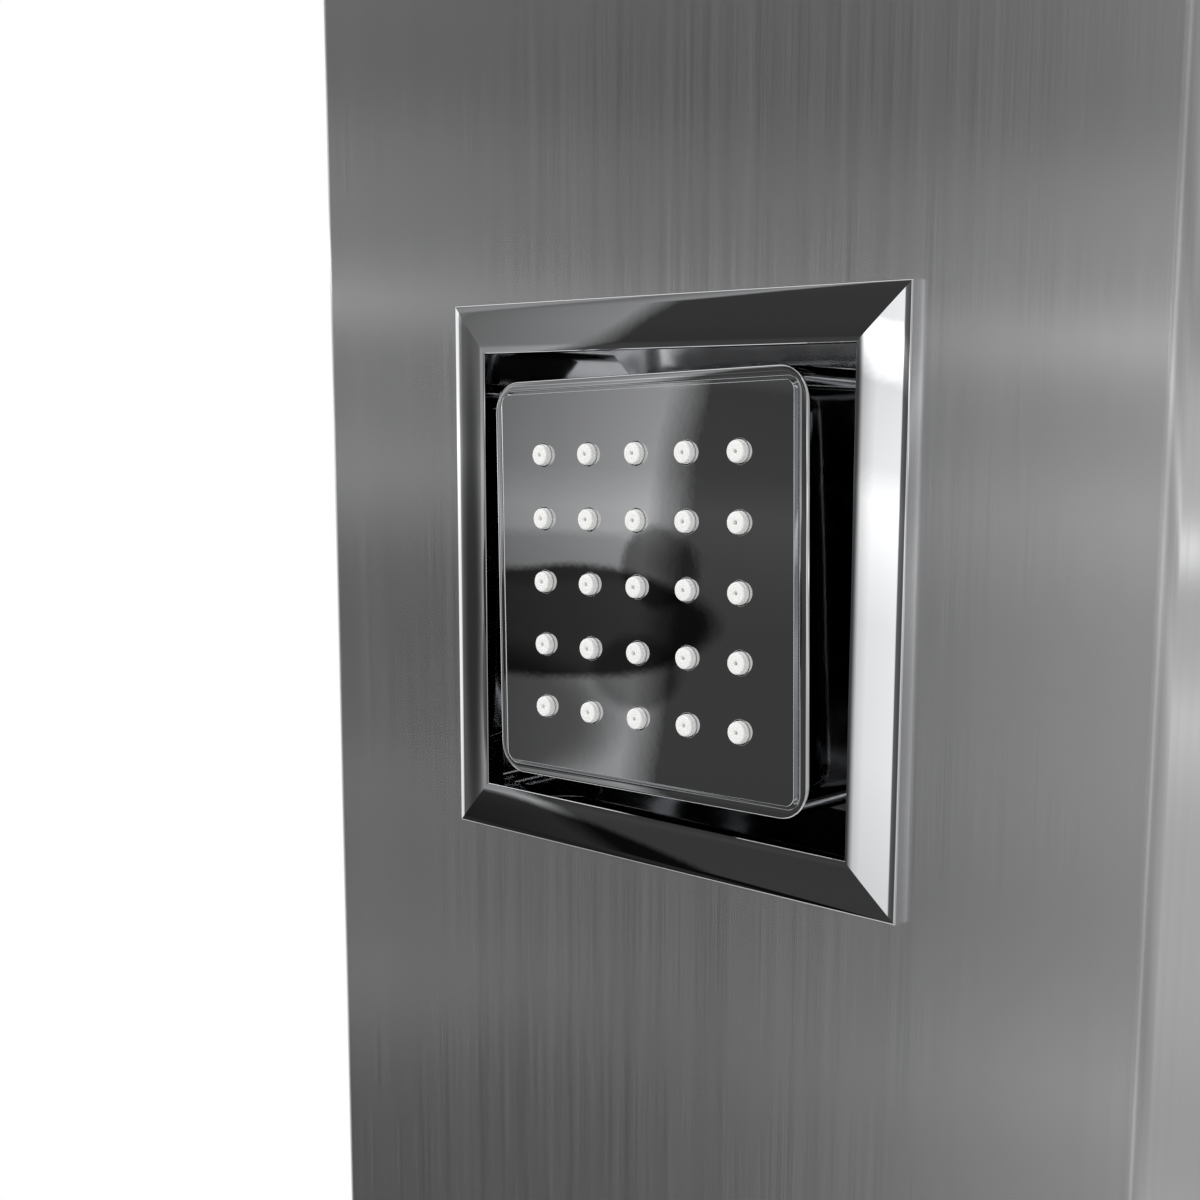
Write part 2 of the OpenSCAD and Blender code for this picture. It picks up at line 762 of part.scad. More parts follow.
module mixer_lever() {
    corner = 3;
    end = pin_y - lever_reach;
    color(CHROME) on_face(mixer_h) difference() {
        union() {
            translate([0, 0, blade_low]) linear_extrude(height = blade_t) {
                translate([-blade_w / 2, end + corner]) square([blade_w, lever_reach - corner]);
                translate([-blade_w / 2 + corner, end]) square([blade_w - 2 * corner, lever_reach]);
                for (x = [-1, 1]) translate([x * (blade_w / 2 - corner), end + corner]) circle(corner);
            }
            translate([-tongue_w / 2, pin_y - 4, pin_z - pin_r]) cube([tongue_w, 4, 11]);
            translate([-tongue_w / 2, pin_y, pin_z - pin_r]) cube([tongue_w, 4, 7]);
            bar([-tongue_w / 2, pin_y, pin_z], [tongue_w / 2, pin_y, pin_z], pin_r + 1.5);
        }
        bar([-tongue_w, pin_y, pin_z], [tongue_w, pin_y, pin_z], pin_r);
    }
}

module mixer_pin() {
    color(ZINC) on_face(mixer_h)
        bar([-hub_w / 2 + 2.2, pin_y, pin_z], [hub_w / 2 - 0.5, pin_y, pin_z], pin_r);
}

// The three-way valve: mixed water comes in at the top and leaves left, right or downwards
module diverter_body() {
    floor_z = body_front - diverter_cart_len;
    color(BRASS) on_face(diverter_h) difference() {
        union() {
            rod(diverter_r, control_back, body_front);
            for (dir = [[-1, 0], [1, 0], [0, 1], [0, -1]]) port(dir, port_reach);
        }
        rod(diverter_cart_r + slip, floor_z, body_front + cut);
        rod(5, port_z, floor_z + cut);
        for (dir = [[-1, 0], [1, 0], [0, 1], [0, -1]]) port_bore(dir, port_reach);
    }
}

module diverter_cartridge() {
    color(WHITE) on_face(diverter_h) difference() {
        union() {
            rod(diverter_cart_r, body_front - diverter_cart_len, body_front);
            rod(knob_neck_r, body_front - cut, body_front + knob_neck);
        }
        rod(knob_spindle_r + slip, spindle_in, body_front + knob_neck + cut);
    }
}

module diverter_ring_nut() {
    color(BRASS) on_face(diverter_h) difference() {
        rod(diverter_cart_r + 3, body_front, body_front + knob_nut_t);
        rod(knob_neck_r + 0.1, body_front - cut, body_front + knob_nut_t + cut);
    }
}

module diverter_cover_plate() {
    color(CHROME) on_face(diverter_h) cover_plate(diverter_plate_w, diverter_r);
}

module diverter_spindle() {
    color(ZINC) on_face(diverter_h) rod(knob_spindle_r, spindle_in + 2, spindle_top);
}

module diverter_knob() {
    color(CHROME) on_face(diverter_h) difference() {
        slab(knob_w, 3, hub_low, knob_top);
        rod(diverter_cart_r + 4, hub_low - cut, hub_low + 5);
        rod(knob_spindle_r + slip, hub_low, spindle_top + 1);
        translate([-1, knob_w / 2 - 12, knob_top - 0.8]) cube([2, 9, 2]);
    }
}

// ---- Pipes ----

function pipe_point(x, h) = [x, -pipe_in, panel_low + h];

module pipe_through(points) {
    difference() {
        run(points, pipe_r);
        run(points, pipe_bore);
        for (k = [0, len(points) - 1]) {
            near = points[k];
            next = points[k == 0 ? 1 : k - 1];
            way = (near - next) / norm(near - next);
            bar(near - way * pipe_r, near + way * cut, pipe_bore);
        }
    }
}

module link_pipe() {
    top = mixer_h - mixer_port_reach + socket_depth;
    low = diverter_h + port_reach - socket_depth;
    color(COPPER) pipe_through([pipe_point(0, low), pipe_point(0, top)]);
}

// Right-hand outlet: across, up the panel's right side and forward to the rain head
module rain_riser() {
    top_h = rain_pipe_z - panel_low;
    color(COPPER) pipe_through([
        pipe_point(port_reach - socket_depth, diverter_h), pipe_point(riser_x, diverter_h),
        pipe_point(riser_x, top_h), [riser_x, feed_joint_y, rain_pipe_z],
    ]);
}

// Left-hand outlet: across, up the panel's left side, with a branch to each jet
module jet_manifold() {
    top = jet_h(JETS[len(JETS) - 1]);
    color(COPPER) difference() {
        union() {
            run([pipe_point(-port_reach + socket_depth, diverter_h), pipe_point(-riser_x, diverter_h),
                pipe_point(-riser_x, top + pipe_r)], pipe_r);
            for (i = JETS) bar(pipe_point(-riser_x, jet_h(i)), pipe_point(-tail_r - 1, jet_h(i)), branch_r);
        }
        bar(pipe_point(-port_reach + socket_depth + cut, diverter_h), pipe_point(-riser_x, diverter_h),
            pipe_bore);
        translate(pipe_point(-riser_x, diverter_h)) sphere(pipe_bore);
        bar(pipe_point(-riser_x, diverter_h), pipe_point(-riser_x, top + pipe_r - 2), pipe_bore);
        for (i = JETS) bar(pipe_point(-riser_x, jet_h(i)), pipe_point(-tail_r, jet_h(i)), branch_bore);
    }
}

// The threaded spigot for a hand shower's hose, below the panel's lower end
module hose_outlet() {
    top = diverter_h - port_reach + socket_depth;
    color(CHROME) difference() {
        union() {
            bar(pipe_point(0, sheet_t), pipe_point(0, top), pipe_r);
            bar(pipe_point(0, sheet_t), pipe_point(0, sheet_t + hose_flange_t), hose_flange_r);
            bar(pipe_point(0, -hose_nut_t), pipe_point(0, sheet_t + cut), hose_fix_r);
            bar(pipe_point(0, -outlet_down), pipe_point(0, 0), g12_r);
        }
        bar(pipe_point(0, -outlet_down - cut), pipe_point(0, top + cut), pipe_bore);
    }
}

// Hex nuts: two on the link pipe, one at each side outlet, one on the hose pipe, one at the
// rain feed, one on each jet's branch and one below the panel on the hose spigot
module pipe_nuts() {
    gap = 0.5;
    beyond = gap + union_t;
    color(BRASS) {
        for (h = [mixer_h - mixer_port_reach - beyond, diverter_h + port_reach + gap,
                  diverter_h - port_reach - beyond])
            translate(pipe_point(0, h)) hex_nut(union_r, pipe_r + slip, union_t);
        for (x = [-port_reach - gap, port_reach + beyond]) translate(pipe_point(x, diverter_h))
            rotate([0, -90, 0]) hex_nut(union_r - 2, pipe_r + slip, union_t);
        translate([riser_x, feed_joint_y + union_t / 2, rain_pipe_z]) rotate([90, 0, 0])
            hex_nut(union_r - 2, pipe_r + slip, union_t);
        for (i = JETS) translate(pipe_point(-tail_branch - 0.5, jet_h(i))) rotate([0, -90, 0])
            hex_nut(branch_r + 4, branch_r + slip, 7);
        translate(pipe_point(0, -hose_nut_t)) hex_nut(hose_nut_r, hose_fix_r + slip, hose_nut_t);
    }
}

module jet_1_bezel() { bezel(0); }
module jet_1_cup() { cup(0); }
module jet_1_tail() { tail(0); }
module jet_1_seat_ring() { seat_ring(0); }
module jet_1_head_shell() { head_shell(0); }
module jet_1_face_plate() { face_plate(0); }
module jet_1_nozzles() { nozzles(0); }
module jet_1_collar() { collar(0); }
module jet_2_bezel() { bezel(1); }
module jet_2_cup() { cup(1); }
module jet_2_tail() { tail(1); }
module jet_2_seat_ring() { seat_ring(1); }
module jet_2_head_shell() { head_shell(1); }
module jet_2_face_plate() { face_plate(1); }
module jet_2_nozzles() { nozzles(1); }
module jet_2_collar() { collar(1); }
module jet_3_bezel() { bezel(2); }
module jet_3_cup() { cup(2); }
module jet_3_tail() { tail(2); }
module jet_3_seat_ring() { seat_ring(2); }
module jet_3_head_shell() { head_shell(2); }
module jet_3_face_plate() { face_plate(2); }
module jet_3_nozzles() { nozzles(2); }
module jet_3_collar() { collar(2); }

front_panel();
upper_rail();
lower_rail();
rail_screws();
upper_bracket();
lower_bracket();
rain_housing();
rain_plate();
rain_water_box();
rain_nozzles();
rain_feed_pipe();
rain_screws();
jet_1_bezel();
jet_1_cup();
jet_1_tail();
jet_1_seat_ring();
jet_1_head_shell();
jet_1_face_plate();
jet_1_nozzles();
jet_1_collar();
jet_2_bezel();
jet_2_cup();
jet_2_tail();
jet_2_seat_ring();
jet_2_head_shell();
jet_2_face_plate();
jet_2_nozzles();
jet_2_collar();
jet_3_bezel();
jet_3_cup();
jet_3_tail();
jet_3_seat_ring();
jet_3_head_shell();
jet_3_face_plate();
jet_3_nozzles();
jet_3_collar();
bezel_nuts();
tail_seals();
tail_nuts();
mixer_body();
mixer_cartridge();
mixer_ring_nut();
mixer_cover_plate();
mixer_spindle();
mixer_hub();
mixer_lever();
mixer_pin();
diverter_body();
diverter_cartridge();
diverter_ring_nut();
diverter_cover_plate();
diverter_spindle();
diverter_knob();
link_pipe();
rain_riser();
jet_manifold();
hose_outlet();
pipe_nuts();
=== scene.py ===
"""Looks of a wall-hung shower column: brushed stainless sheet, mirror chrome jets, silicone nozzles.

Every surface is built in metres in the row frame: +X right, +Y into the wall, +Z up.
"""
import json
import math

import bmesh
import bpy
import numpy as np
from bpy.props import FloatProperty, FloatVectorProperty, IntProperty, PointerProperty, StringProperty
from mathutils import Matrix, Vector

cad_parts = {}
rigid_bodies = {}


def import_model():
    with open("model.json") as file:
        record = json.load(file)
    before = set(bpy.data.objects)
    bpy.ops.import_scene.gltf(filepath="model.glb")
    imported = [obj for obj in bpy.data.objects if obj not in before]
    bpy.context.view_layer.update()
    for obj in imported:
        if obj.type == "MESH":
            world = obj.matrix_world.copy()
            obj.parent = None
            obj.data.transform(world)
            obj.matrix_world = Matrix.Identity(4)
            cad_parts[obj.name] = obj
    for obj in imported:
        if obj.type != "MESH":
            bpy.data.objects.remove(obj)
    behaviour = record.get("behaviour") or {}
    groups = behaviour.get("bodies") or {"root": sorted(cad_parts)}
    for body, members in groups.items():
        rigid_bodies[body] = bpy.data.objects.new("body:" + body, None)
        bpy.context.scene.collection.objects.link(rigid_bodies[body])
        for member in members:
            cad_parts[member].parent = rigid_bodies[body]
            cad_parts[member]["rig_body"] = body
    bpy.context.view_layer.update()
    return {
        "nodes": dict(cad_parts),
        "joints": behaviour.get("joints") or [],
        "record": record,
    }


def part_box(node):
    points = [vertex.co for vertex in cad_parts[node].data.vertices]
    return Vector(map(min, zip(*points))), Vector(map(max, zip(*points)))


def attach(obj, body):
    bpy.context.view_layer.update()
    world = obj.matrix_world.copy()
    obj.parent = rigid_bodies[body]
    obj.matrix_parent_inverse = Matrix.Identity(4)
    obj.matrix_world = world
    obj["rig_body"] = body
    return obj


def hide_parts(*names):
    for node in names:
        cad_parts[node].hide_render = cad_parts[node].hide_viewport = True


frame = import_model()

bl_info = {
    "name": "Shower column",
    "version": (1, 0, 0),
    "blender": (4, 5, 0),
    "location": "View3D > Sidebar > Shower",
    "description": "Builds the visible surfaces, finishes and studio of a shower column",
    "category": "Add Mesh",
}

MM = 0.001
NODES = frame["nodes"]
JET_NUMBERS = (1, 2, 3)
PANEL_LOW, PANEL_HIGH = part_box("front_panel")
TURNED_JET = 2              # the jet whose head rests a little turned, and that the camera looks at
HEAD_GAP = 5 * MM           # between a bezel's opening and its spray head
EDGE_ANGLE = 35             # degrees: a softened CAD piece is rounded along edges sharper than this


# ---- Sizes a user would change -----------------------------------------------------------------

def length(name, value_mm, about):
    """A length property whose default is given in millimetres."""
    return FloatProperty(name=name, description=about, default=value_mm * MM, unit="LENGTH")


class JetSizes(bpy.types.PropertyGroup):
    """Section sizes of a square body jet."""
    bar: length("Bezel bar", 10, "Width of each bezel bar")
    edge: length("Bezel edge", 2, "Height of the bezel's outer edge above the panel")
    rise: length("Bezel rise", 1.3, "Rise of the bezel from its outer to its inner edge")
    crown: length("Bezel crown", 0.12, "How far the middle of a bar swells above a straight slope")
    skirt: length("Skirt", 1.2, "Thickness and depth of the skirt in the panel's opening")
    rim: length("Head rim", 2.6, "Width of the spray head's rim and groove together")
    groove: length("Groove", 0.6, "Gap between the rim and the face plate")
    corner: length("Head corner", 6.5, "Corner radius of the spray head")
    plate_corner: length("Plate corner", 2, "Corner radius of the face plate")
    depth: length("Head depth", 21.4, "Depth of the spray head's side walls")
    face: length("Face height", 6, "Height of the face plate above the panel")
    rim_drop: length("Rim drop", 0.6, "How far the rim lies behind the face plate")
    soft: length("Edge softness", 0.45, "Radius of the plated edges of the spray head")
    pitch: length("Nozzle pitch", 12.6, "Distance between neighbouring nozzles")
    count: IntProperty(name="Nozzles a side", description="Nozzles along one side", default=5, min=3, max=6)
    turn: FloatVectorProperty(
        name="Resting turn", description="Pitch, yaw and roll of the middle head on its ball",
        subtype="EULER", default=[math.radians(a) for a in (-1.0, -2.5, 1.9)])


class SheetSizes(bpy.types.PropertyGroup):
    """Sizes of the folded sheet and of the rain head's nozzle field."""
    thickness: length("Sheet", 1.2, "Thickness of the stainless sheet")
    fold: length("Fold", 2.5, "Outer radius of the folds")
    lip: length("Lip", 16, "Width of the lips along the open back")
    rain_pitch: length("Rain pitch", 22, "Distance between neighbouring rain nozzles")
    rain_columns: IntProperty(name="Rain columns", description="Nozzles across the head", default=8)
    rain_rows: IntProperty(name="Rain rows", description="Nozzles along the head", default=14)
    rain_first: length("First row", 25, "Distance from the head's front to the first row of nozzles")


class FinishColours(bpy.types.PropertyGroup):
    """Base colours of the finishes, as sRGB hex."""
    stainless: StringProperty(name="Stainless", description="Brushed stainless steel", default="D0D0D1")
    chrome: StringProperty(name="Chrome", description="Mirror chrome plate", default="E6E7E9")
    silicone: StringProperty(name="Silicone", description="White silicone", default="F2F2F0")
    brass: StringProperty(name="Brass", description="Machined brass", default="C9A45C")
    copper: StringProperty(name="Copper", description="Drawn copper tube", default="C47A55")
    zinc: StringProperty(name="Zinc", description="Zinc-plated steel", default="B9BEC4")


GROUPS = {"shower_jet": JetSizes, "shower_sheet": SheetSizes, "shower_finish": FinishColours}


# ---- Mesh building -----------------------------------------------------------------------------

def grid_faces(rows, columns, wrap_rows=False, wrap_columns=False):
    """Quads of a rows x columns grid of points, as an array of four point numbers a face."""
    i = np.arange(rows if wrap_rows else rows - 1)[:, None]
    j = np.arange(columns if wrap_columns else columns - 1)[None, :]
    a, b = i * columns + j, i * columns + (j + 1) % columns
    c, d = (i + 1) % rows * columns + (j + 1) % columns, (i + 1) % rows * columns + j
    return np.stack([a, b, c, d], -1).reshape(-1, 4)


class Surface:
    """Collects grids of points and their faces into one mesh."""

    def __init__(self):
        self.points, self.faces, self.count = [], [], 0

    def add(self, points, faces):
        """Adds points (n, 3) with faces given as lists of their numbers."""
        points = np.asarray(points, float).reshape(-1, 3)
        self.faces += [[int(k) + self.count for k in face] for face in faces]
        self.points.append(points)
        self.count += len(points)

    def tube(self, rings, closed=False):
        """A skin over rings of points (rows, columns, 3); its ends are capped unless it is closed."""
        rows, columns = rings.shape[:2]
        faces = grid_faces(rows, columns, closed, True).tolist()
        if not closed:
            faces += [list(range(columns))[::-1], list(range((rows - 1) * columns, rows * columns))]
        self.add(rings, faces)

    def object(self, name, material, body, replaced=(), smooth_angle=30):
        """Makes the mesh object, turns its faces outwards and hands it to its body."""
        mesh = bpy.data.meshes.new(name)
        mesh.from_pydata(np.concatenate(self.points), [], self.faces)
        work = bmesh.new()
        work.from_mesh(mesh)
        bmesh.ops.recalc_face_normals(work, faces=work.faces)
        work.to_mesh(mesh)
        work.free()
        mesh.shade_smooth()
        mesh.set_sharp_from_angle(angle=math.radians(smooth_angle))
        return finished(name, mesh, material, body, replaced)


def finished(name, mesh, material, body, replaced):
    """Links a piece, gives it its finish and its body, and lets it stand for its CAD nodes."""
    piece = bpy.data.objects.new(name, mesh)
    bpy.context.scene.collection.objects.link(piece)
    mesh.materials.clear()
    mesh.materials.append(material)
    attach(piece, body)
    if replaced:
        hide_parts(*replaced)
    return piece


def rounded_square(half, radius, arc_points=8):
    """Points of a square of that half-width whose corners are quarter circles of that radius."""
    angle = np.linspace(0, np.pi / 2, arc_points)[None, :] + np.arange(4)[:, None] * np.pi / 2
    centre = np.sign(np.stack([np.cos(angle.mean(1)), np.sin(angle.mean(1))], -1)) * (half - radius)
    arc = np.stack([np.cos(angle), np.sin(angle)], -1) * radius
    return (centre[:, None, :] + arc).reshape(-1, 2)


def loft(sections, arc_points=8):
    """Rings of rounded squares, one for each (half-width, corner radius, height)."""
    rings = []
    for half, radius, height in sections:
        outline = rounded_square(half, max(radius, 0.05 * MM), arc_points)
        rings.append(np.column_stack([outline, np.full(len(outline), height)]))
    return np.stack(rings)


def revolve(profile, segments=32):
    """Turns (radius, height) pairs about the height axis, one ring of points for each pair."""
    angle = np.linspace(0, 2 * np.pi, segments, endpoint=False)
    radius, height = np.array(profile, float).T[:, :, None]
    flat = np.broadcast_to(height, (len(profile), segments))
    return np.stack([radius * np.cos(angle), radius * np.sin(angle), flat], -1)


def fillet(corner, start, end, radius, points=5):
    """A round turn at a corner of a profile: a quadratic curve that leaves the way from start at that
    distance before the corner and joins the way to end at the same distance after it."""
    corner, start, end = (np.array(p, float) for p in (corner, start, end))
    a = corner + (start - corner) / np.linalg.norm(start - corner) * radius
    b = corner + (end - corner) / np.linalg.norm(end - corner) * radius
    t = np.linspace(0, 1, points)[:, None]
    return (1 - t) ** 2 * a + 2 * t * (1 - t) * corner + t ** 2 * b


def softened_profile(corners, radii):
    """An open line's corners, each rounded by a fillet of its own radius, or left sharp where it is 0;
    its two ends stay as they are."""
    corners = np.array(corners, float)
    points = [corners[:1]]
    for before, corner, after, radius in zip(corners, corners[1:], corners[2:], radii[1:]):
        points.append(fillet(corner, before, after, radius) if radius > 0 else corner[None])
    return np.concatenate(points + [corners[-1:]])


def soften(node, material, width_mm):
    """Stands in for a CAD node by a merged copy of its mesh with a narrow rounded edge."""
    mesh = NODES[node].data.copy()
    work = bmesh.new()
    work.from_mesh(mesh)
    bmesh.ops.remove_doubles(work, verts=work.verts, dist=2e-6)
    flat = math.radians(0.5)
    bmesh.ops.dissolve_limit(work, angle_limit=flat, verts=work.verts, edges=work.edges)
    bmesh.ops.recalc_face_normals(work, faces=work.faces)
    clean = bpy.data.meshes.new(node + "_finished")
    work.to_mesh(clean)
    work.free()
    bpy.data.meshes.remove(mesh)
    clean.shade_smooth()
    clean.set_sharp_from_angle(angle=math.radians(EDGE_ANGLE))
    piece = finished(node + "_finished", clean, material, NODES[node]["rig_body"], [node])
    edge = piece.modifiers.new("Rounded edge", "BEVEL")
    edge.width = width_mm * MM
    edge.segments = 2
    edge.limit_method = "ANGLE"
    edge.angle_limit = math.radians(EDGE_ANGLE)
    edge.harden_normals = True
    return piece


# ---- Places of the jets ------------------------------------------------------------------------

def face_y():
    """The y of the panel's front face."""
    return PANEL_LOW.y


def jet_centre(n):
    """The x and z of a jet's middle and the half-width of its bezel."""
    low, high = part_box(f"jet_{n}_bezel")
    return (low.x + high.x) / 2, (low.z + high.z) / 2, (high.x - low.x) / 2


def on_face(points, x, z):
    """Carries points drawn as (right, up, outwards) onto the panel's face at x, z."""
    points = np.asarray(points, float)
    return np.stack([x + points[..., 0], face_y() - points[..., 2], z + points[..., 1]], -1)


def on_head(points, n):
    """Carries points of a spray head onto the panel, turned about its ball as it rests."""
    x, z, _ = jet_centre(n)
    points = np.asarray(points, float)
    if n == TURNED_JET:
        joint = next(j for j in frame["joints"] if j["child"] == f"jet_{n}_head")
        ball = np.array([0, 0, face_y() - joint["pos_m"][1]])
        turn = bpy.context.scene.shower_jet.turn
        matrix = np.array(turn.to_matrix())
        points = (points - ball) @ matrix.T + ball
    return on_face(points, x, z)


# ---- Materials ---------------------------------------------------------------------------------

def linear(hexa):
    """sRGB hex to a linear colour with full alpha."""
    values = [int(hexa[k:k + 2], 16) / 255 for k in (0, 2, 4)]
    return [v / 12.92 if v <= 0.04045 else ((v + 0.055) / 1.055) ** 2.4 for v in values] + [1.0]


def add(tree, kind, settings=None, links=None):
    """Adds a node, sets its attributes and unlinked sockets by name, and links the sockets named or
    numbered in links to other nodes' outputs."""
    node = tree.nodes.new(kind)
    for key, value in (settings or {}).items():
        if key in node.inputs:
            node.inputs[key].default_value = value
        else:
            setattr(node, key, value)
    for key, output in (links or {}).items():
        tree.links.new(output, node.inputs[key])
    return node


def finish(name, **settings):
    """A new material with one Principled shader; returns material, tree and shader."""
    material = bpy.data.materials.new(name)
    material.use_nodes = True
    tree = material.node_tree
    shader = tree.nodes["Principled BSDF"]
    for key, value in settings.items():
        shader.inputs[key.replace("_", " ")].default_value = value
    return material, tree, shader


def streaks(tree, scale_xyz, detail=3.0):
    """Noise on Object coordinates, stretched by a different scale along each axis (per metre)."""
    place = add(tree, "ShaderNodeTexCoord")
    fit = add(tree, "ShaderNodeMapping", {"Scale": scale_xyz}, {"Vector": place.outputs["Object"]})
    return add(tree, "ShaderNodeTexNoise", {"Scale": 1.0, "Detail": detail, "Roughness": 0.6},
               {"Vector": fit.outputs["Vector"]}).outputs["Fac"]


def ranged(tree, value, low, high, to_low, to_high):
    """Maps a value from one range to another, clamped."""
    return add(tree, "ShaderNodeMapRange", {"From Min": low, "From Max": high, "To Min": to_low,
                                            "To Max": to_high}, {"Value": value}).outputs["Result"]


def smooth_step(tree, value, low, high):
    """0 below low, 1 above high, with a soft change between."""
    return add(tree, "ShaderNodeMapRange", {"interpolation_type": "SMOOTHSTEP", "From Min": low,
                                            "From Max": high}, {"Value": value}).outputs["Result"]


def math_node(tree, operation, a, b):
    """One Math node; a and b are outputs or numbers."""
    node = tree.nodes.new("ShaderNodeMath")
    node.operation = operation
    for socket, value in zip(node.inputs, (a, b)):
        if isinstance(value, (int, float)):
            socket.default_value = value
        else:
            tree.links.new(value, socket)
    return node.outputs[0]


def blended(tree, level, first, second):
    """A colour between first and second, by a level from 0 to 1."""
    mix = add(tree, "ShaderNodeMix", {"data_type": "RGBA"}, {"Factor": level})
    mix.inputs[6].default_value, mix.inputs[7].default_value = first, second
    return mix.outputs[2]


def bumped(tree, shader, height, strength, distance_mm):
    """Lets a height between 0 and 1 stand out by that distance, at that strength."""
    bump = add(tree, "ShaderNodeBump", {"Strength": strength, "Distance": distance_mm * MM},
               {"Height": height})
    tree.links.new(bump.outputs["Normal"], shader.inputs["Normal"])


def brushed_stainless(name, grain):
    """304 stainless, belt-brushed along one way: reflections smear across the grain and stay crisp
    along it, with fine parallel scratches. grain is the noise's scale per metre along X, Y and Z;
    real scratches are about 0.05 mm apart, drawn 0.25 mm apart so that they show."""
    tint = linear(bpy.context.scene.shower_finish.stainless)
    material, tree, shader = finish(name, Base_Color=tint, Metallic=1.0, Roughness=0.2, Anisotropic=1.0)
    scratch = streaks(tree, grain, 4.0)
    broad = streaks(tree, [g * 0.12 for g in grain], 2.0)
    rough = math_node(tree, "ADD", ranged(tree, scratch, 0.25, 0.75, 0.17, 0.21),
                      ranged(tree, broad, 0.3, 0.7, 0.0, 0.03))
    tree.links.new(rough, shader.inputs["Roughness"])
    dark = [c * 0.93 for c in tint[:3]] + [1.0]
    tree.links.new(blended(tree, ranged(tree, scratch, 0.3, 0.7, 0.0, 1.0), dark, tint),
                   shader.inputs["Base Color"])
    bumped(tree, shader, scratch, 0.05, 0.05)
    return material, tree, shader


def mirror_chrome(name, wave_mm=35.0, wave=0.3, roughness=0.01):
    """Chrome plate on moulded ABS or zinc: a mirror whose reflections swim a little, because the
    moulding under the plate is never quite flat; ripples 4 mm long fray a reflection's edge."""
    tint = linear(bpy.context.scene.shower_finish.chrome)
    material, tree, shader = finish(name, Base_Color=tint, Metallic=1.0, Roughness=roughness)
    swell = streaks(tree, [1000 / wave_mm] * 3, 1.0)
    ripple = math_node(tree, "MULTIPLY", streaks(tree, [250.0] * 3, 2.0), 0.03)
    smear = streaks(tree, [140.0] * 3, 3.0)
    tree.links.new(ranged(tree, smear, 0.5, 0.8, roughness, roughness + 0.03),
                   shader.inputs["Roughness"])
    bumped(tree, shader, math_node(tree, "ADD", swell, ripple), wave, 0.25)
    return material


def white_silicone():
    """Moulded silicone: a soft satin white that lets a little light through."""
    material, tree, shader = finish(
        "white_silicone", Base_Color=linear(bpy.context.scene.shower_finish.silicone), Roughness=0.42,
        IOR=1.41, Subsurface_Weight=0.15, Subsurface_Radius=(0.0015, 0.0013, 0.0012),
        Subsurface_Scale=1.0)
    bumped(tree, shader, streaks(tree, [900.0] * 3, 2.0), 0.15, 0.05)
    return material


def metal(name, hexa, roughness, scale, spread, dark=0.75):
    """A plain worked metal: tone and roughness drift over patches about 1/scale metres wide, down
    to dark times its colour."""
    tint = linear(hexa)
    material, tree, shader = finish(name, Base_Color=tint, Metallic=1.0, Roughness=roughness)
    level = streaks(tree, [scale] * 3, 5.0)
    tree.links.new(ranged(tree, level, 0.3, 0.7, roughness - spread, roughness + spread),
                   shader.inputs["Roughness"])
    dull = [c * dark for c in tint[:3]] + [1.0]
    tree.links.new(blended(tree, ranged(tree, level, 0.3, 0.7, 0.0, 1.0), dull, tint),
                   shader.inputs["Base Color"])
    bumped(tree, shader, level, 0.2, 0.06)
    return material


def plastic(name, hexa, roughness, scale):
    """A moulded plastic or rubber with a fine even texture."""
    material, tree, shader = finish(name, Base_Color=linear(hexa), Roughness=roughness)
    grain = streaks(tree, [scale] * 3, 3.0)
    tree.links.new(ranged(tree, grain, 0.3, 0.7, roughness - 0.06, roughness + 0.06),
                   shader.inputs["Roughness"])
    bumped(tree, shader, grain, 0.25, 0.05)
    return material


FINISH = {}


class ShowerFinishes(bpy.types.Operator):
    """Makes every finish of the column and gives it to the CAD nodes of its material slot"""
    bl_idname = "shower.finishes"
    bl_label = "Finishes"

    def execute(self, context):
        """Makes one material for each slot of the record."""
        colours = context.scene.shower_finish
        panel, tree, shader = brushed_stainless("brushed_stainless_panel", (4000.0, 4000.0, 25.0))
        tangent = add(tree, "ShaderNodeTangent", {"direction_type": "UV_MAP", "uv_map": "Grain"})
        tree.links.new(tangent.outputs[0], shader.inputs["Tangent"])
        plate, _, flat_shader = brushed_stainless("brushed_stainless_plate", (4000.0, 25.0, 4000.0))
        flat_shader.inputs["Anisotropic"].default_value = 0.0
        FINISH.update({
            "brushed_steel": plate,
            "folded_sheet": panel,
            "chrome": mirror_chrome("mirror_chrome"),
            # Chrome plate deep in a moulding: thin and hazy, over visible flow marks 12 mm apart
            "dark_chrome": mirror_chrome("chromed_plastic_cup", 12.0, 0.5, 0.12),
            # Turned and milled brass: satin yellow, with a tool's faint marks about 5 mm wide
            "brass": metal("machined_brass", colours.brass, 0.27, 180.0, 0.07),
            # Drawn copper tube: smooth, with broad dull patches where it has tarnished
            "copper": metal("drawn_copper_tube", colours.copper, 0.3, 60.0, 0.1, 0.6),
            # Zinc-plated steel: grey and even, with a crystalline mottle about 4 mm wide
            "zinc_plate": metal("zinc_plated_steel", colours.zinc, 0.36, 250.0, 0.08),
            "silicone": white_silicone(),
            # Turned acetal: milky white and waxy
            "bearing_plastic": plastic("natural_acetal", "E4E3DC", 0.4, 500.0),
            # Moulded ABS without its plating: black, with a fine spark-eroded grain; also painted on the
            # face plates' hole walls as shade
            "black_plastic": plastic("moulded_black_abs", "17181A", 0.45, 700.0),
            # Moulded EPDM rubber: dull black
            "seal_rubber": plastic("black_epdm_rubber", "121212", 0.6, 900.0),
        })
        for part in frame["record"]["subparts"]:
            mesh = NODES[part["node"]].data
            mesh.materials.clear()
            mesh.materials.append(FINISH[part["material_slot"]])
        return {"FINISHED"}


# ---- The folded sheet --------------------------------------------------------------------------

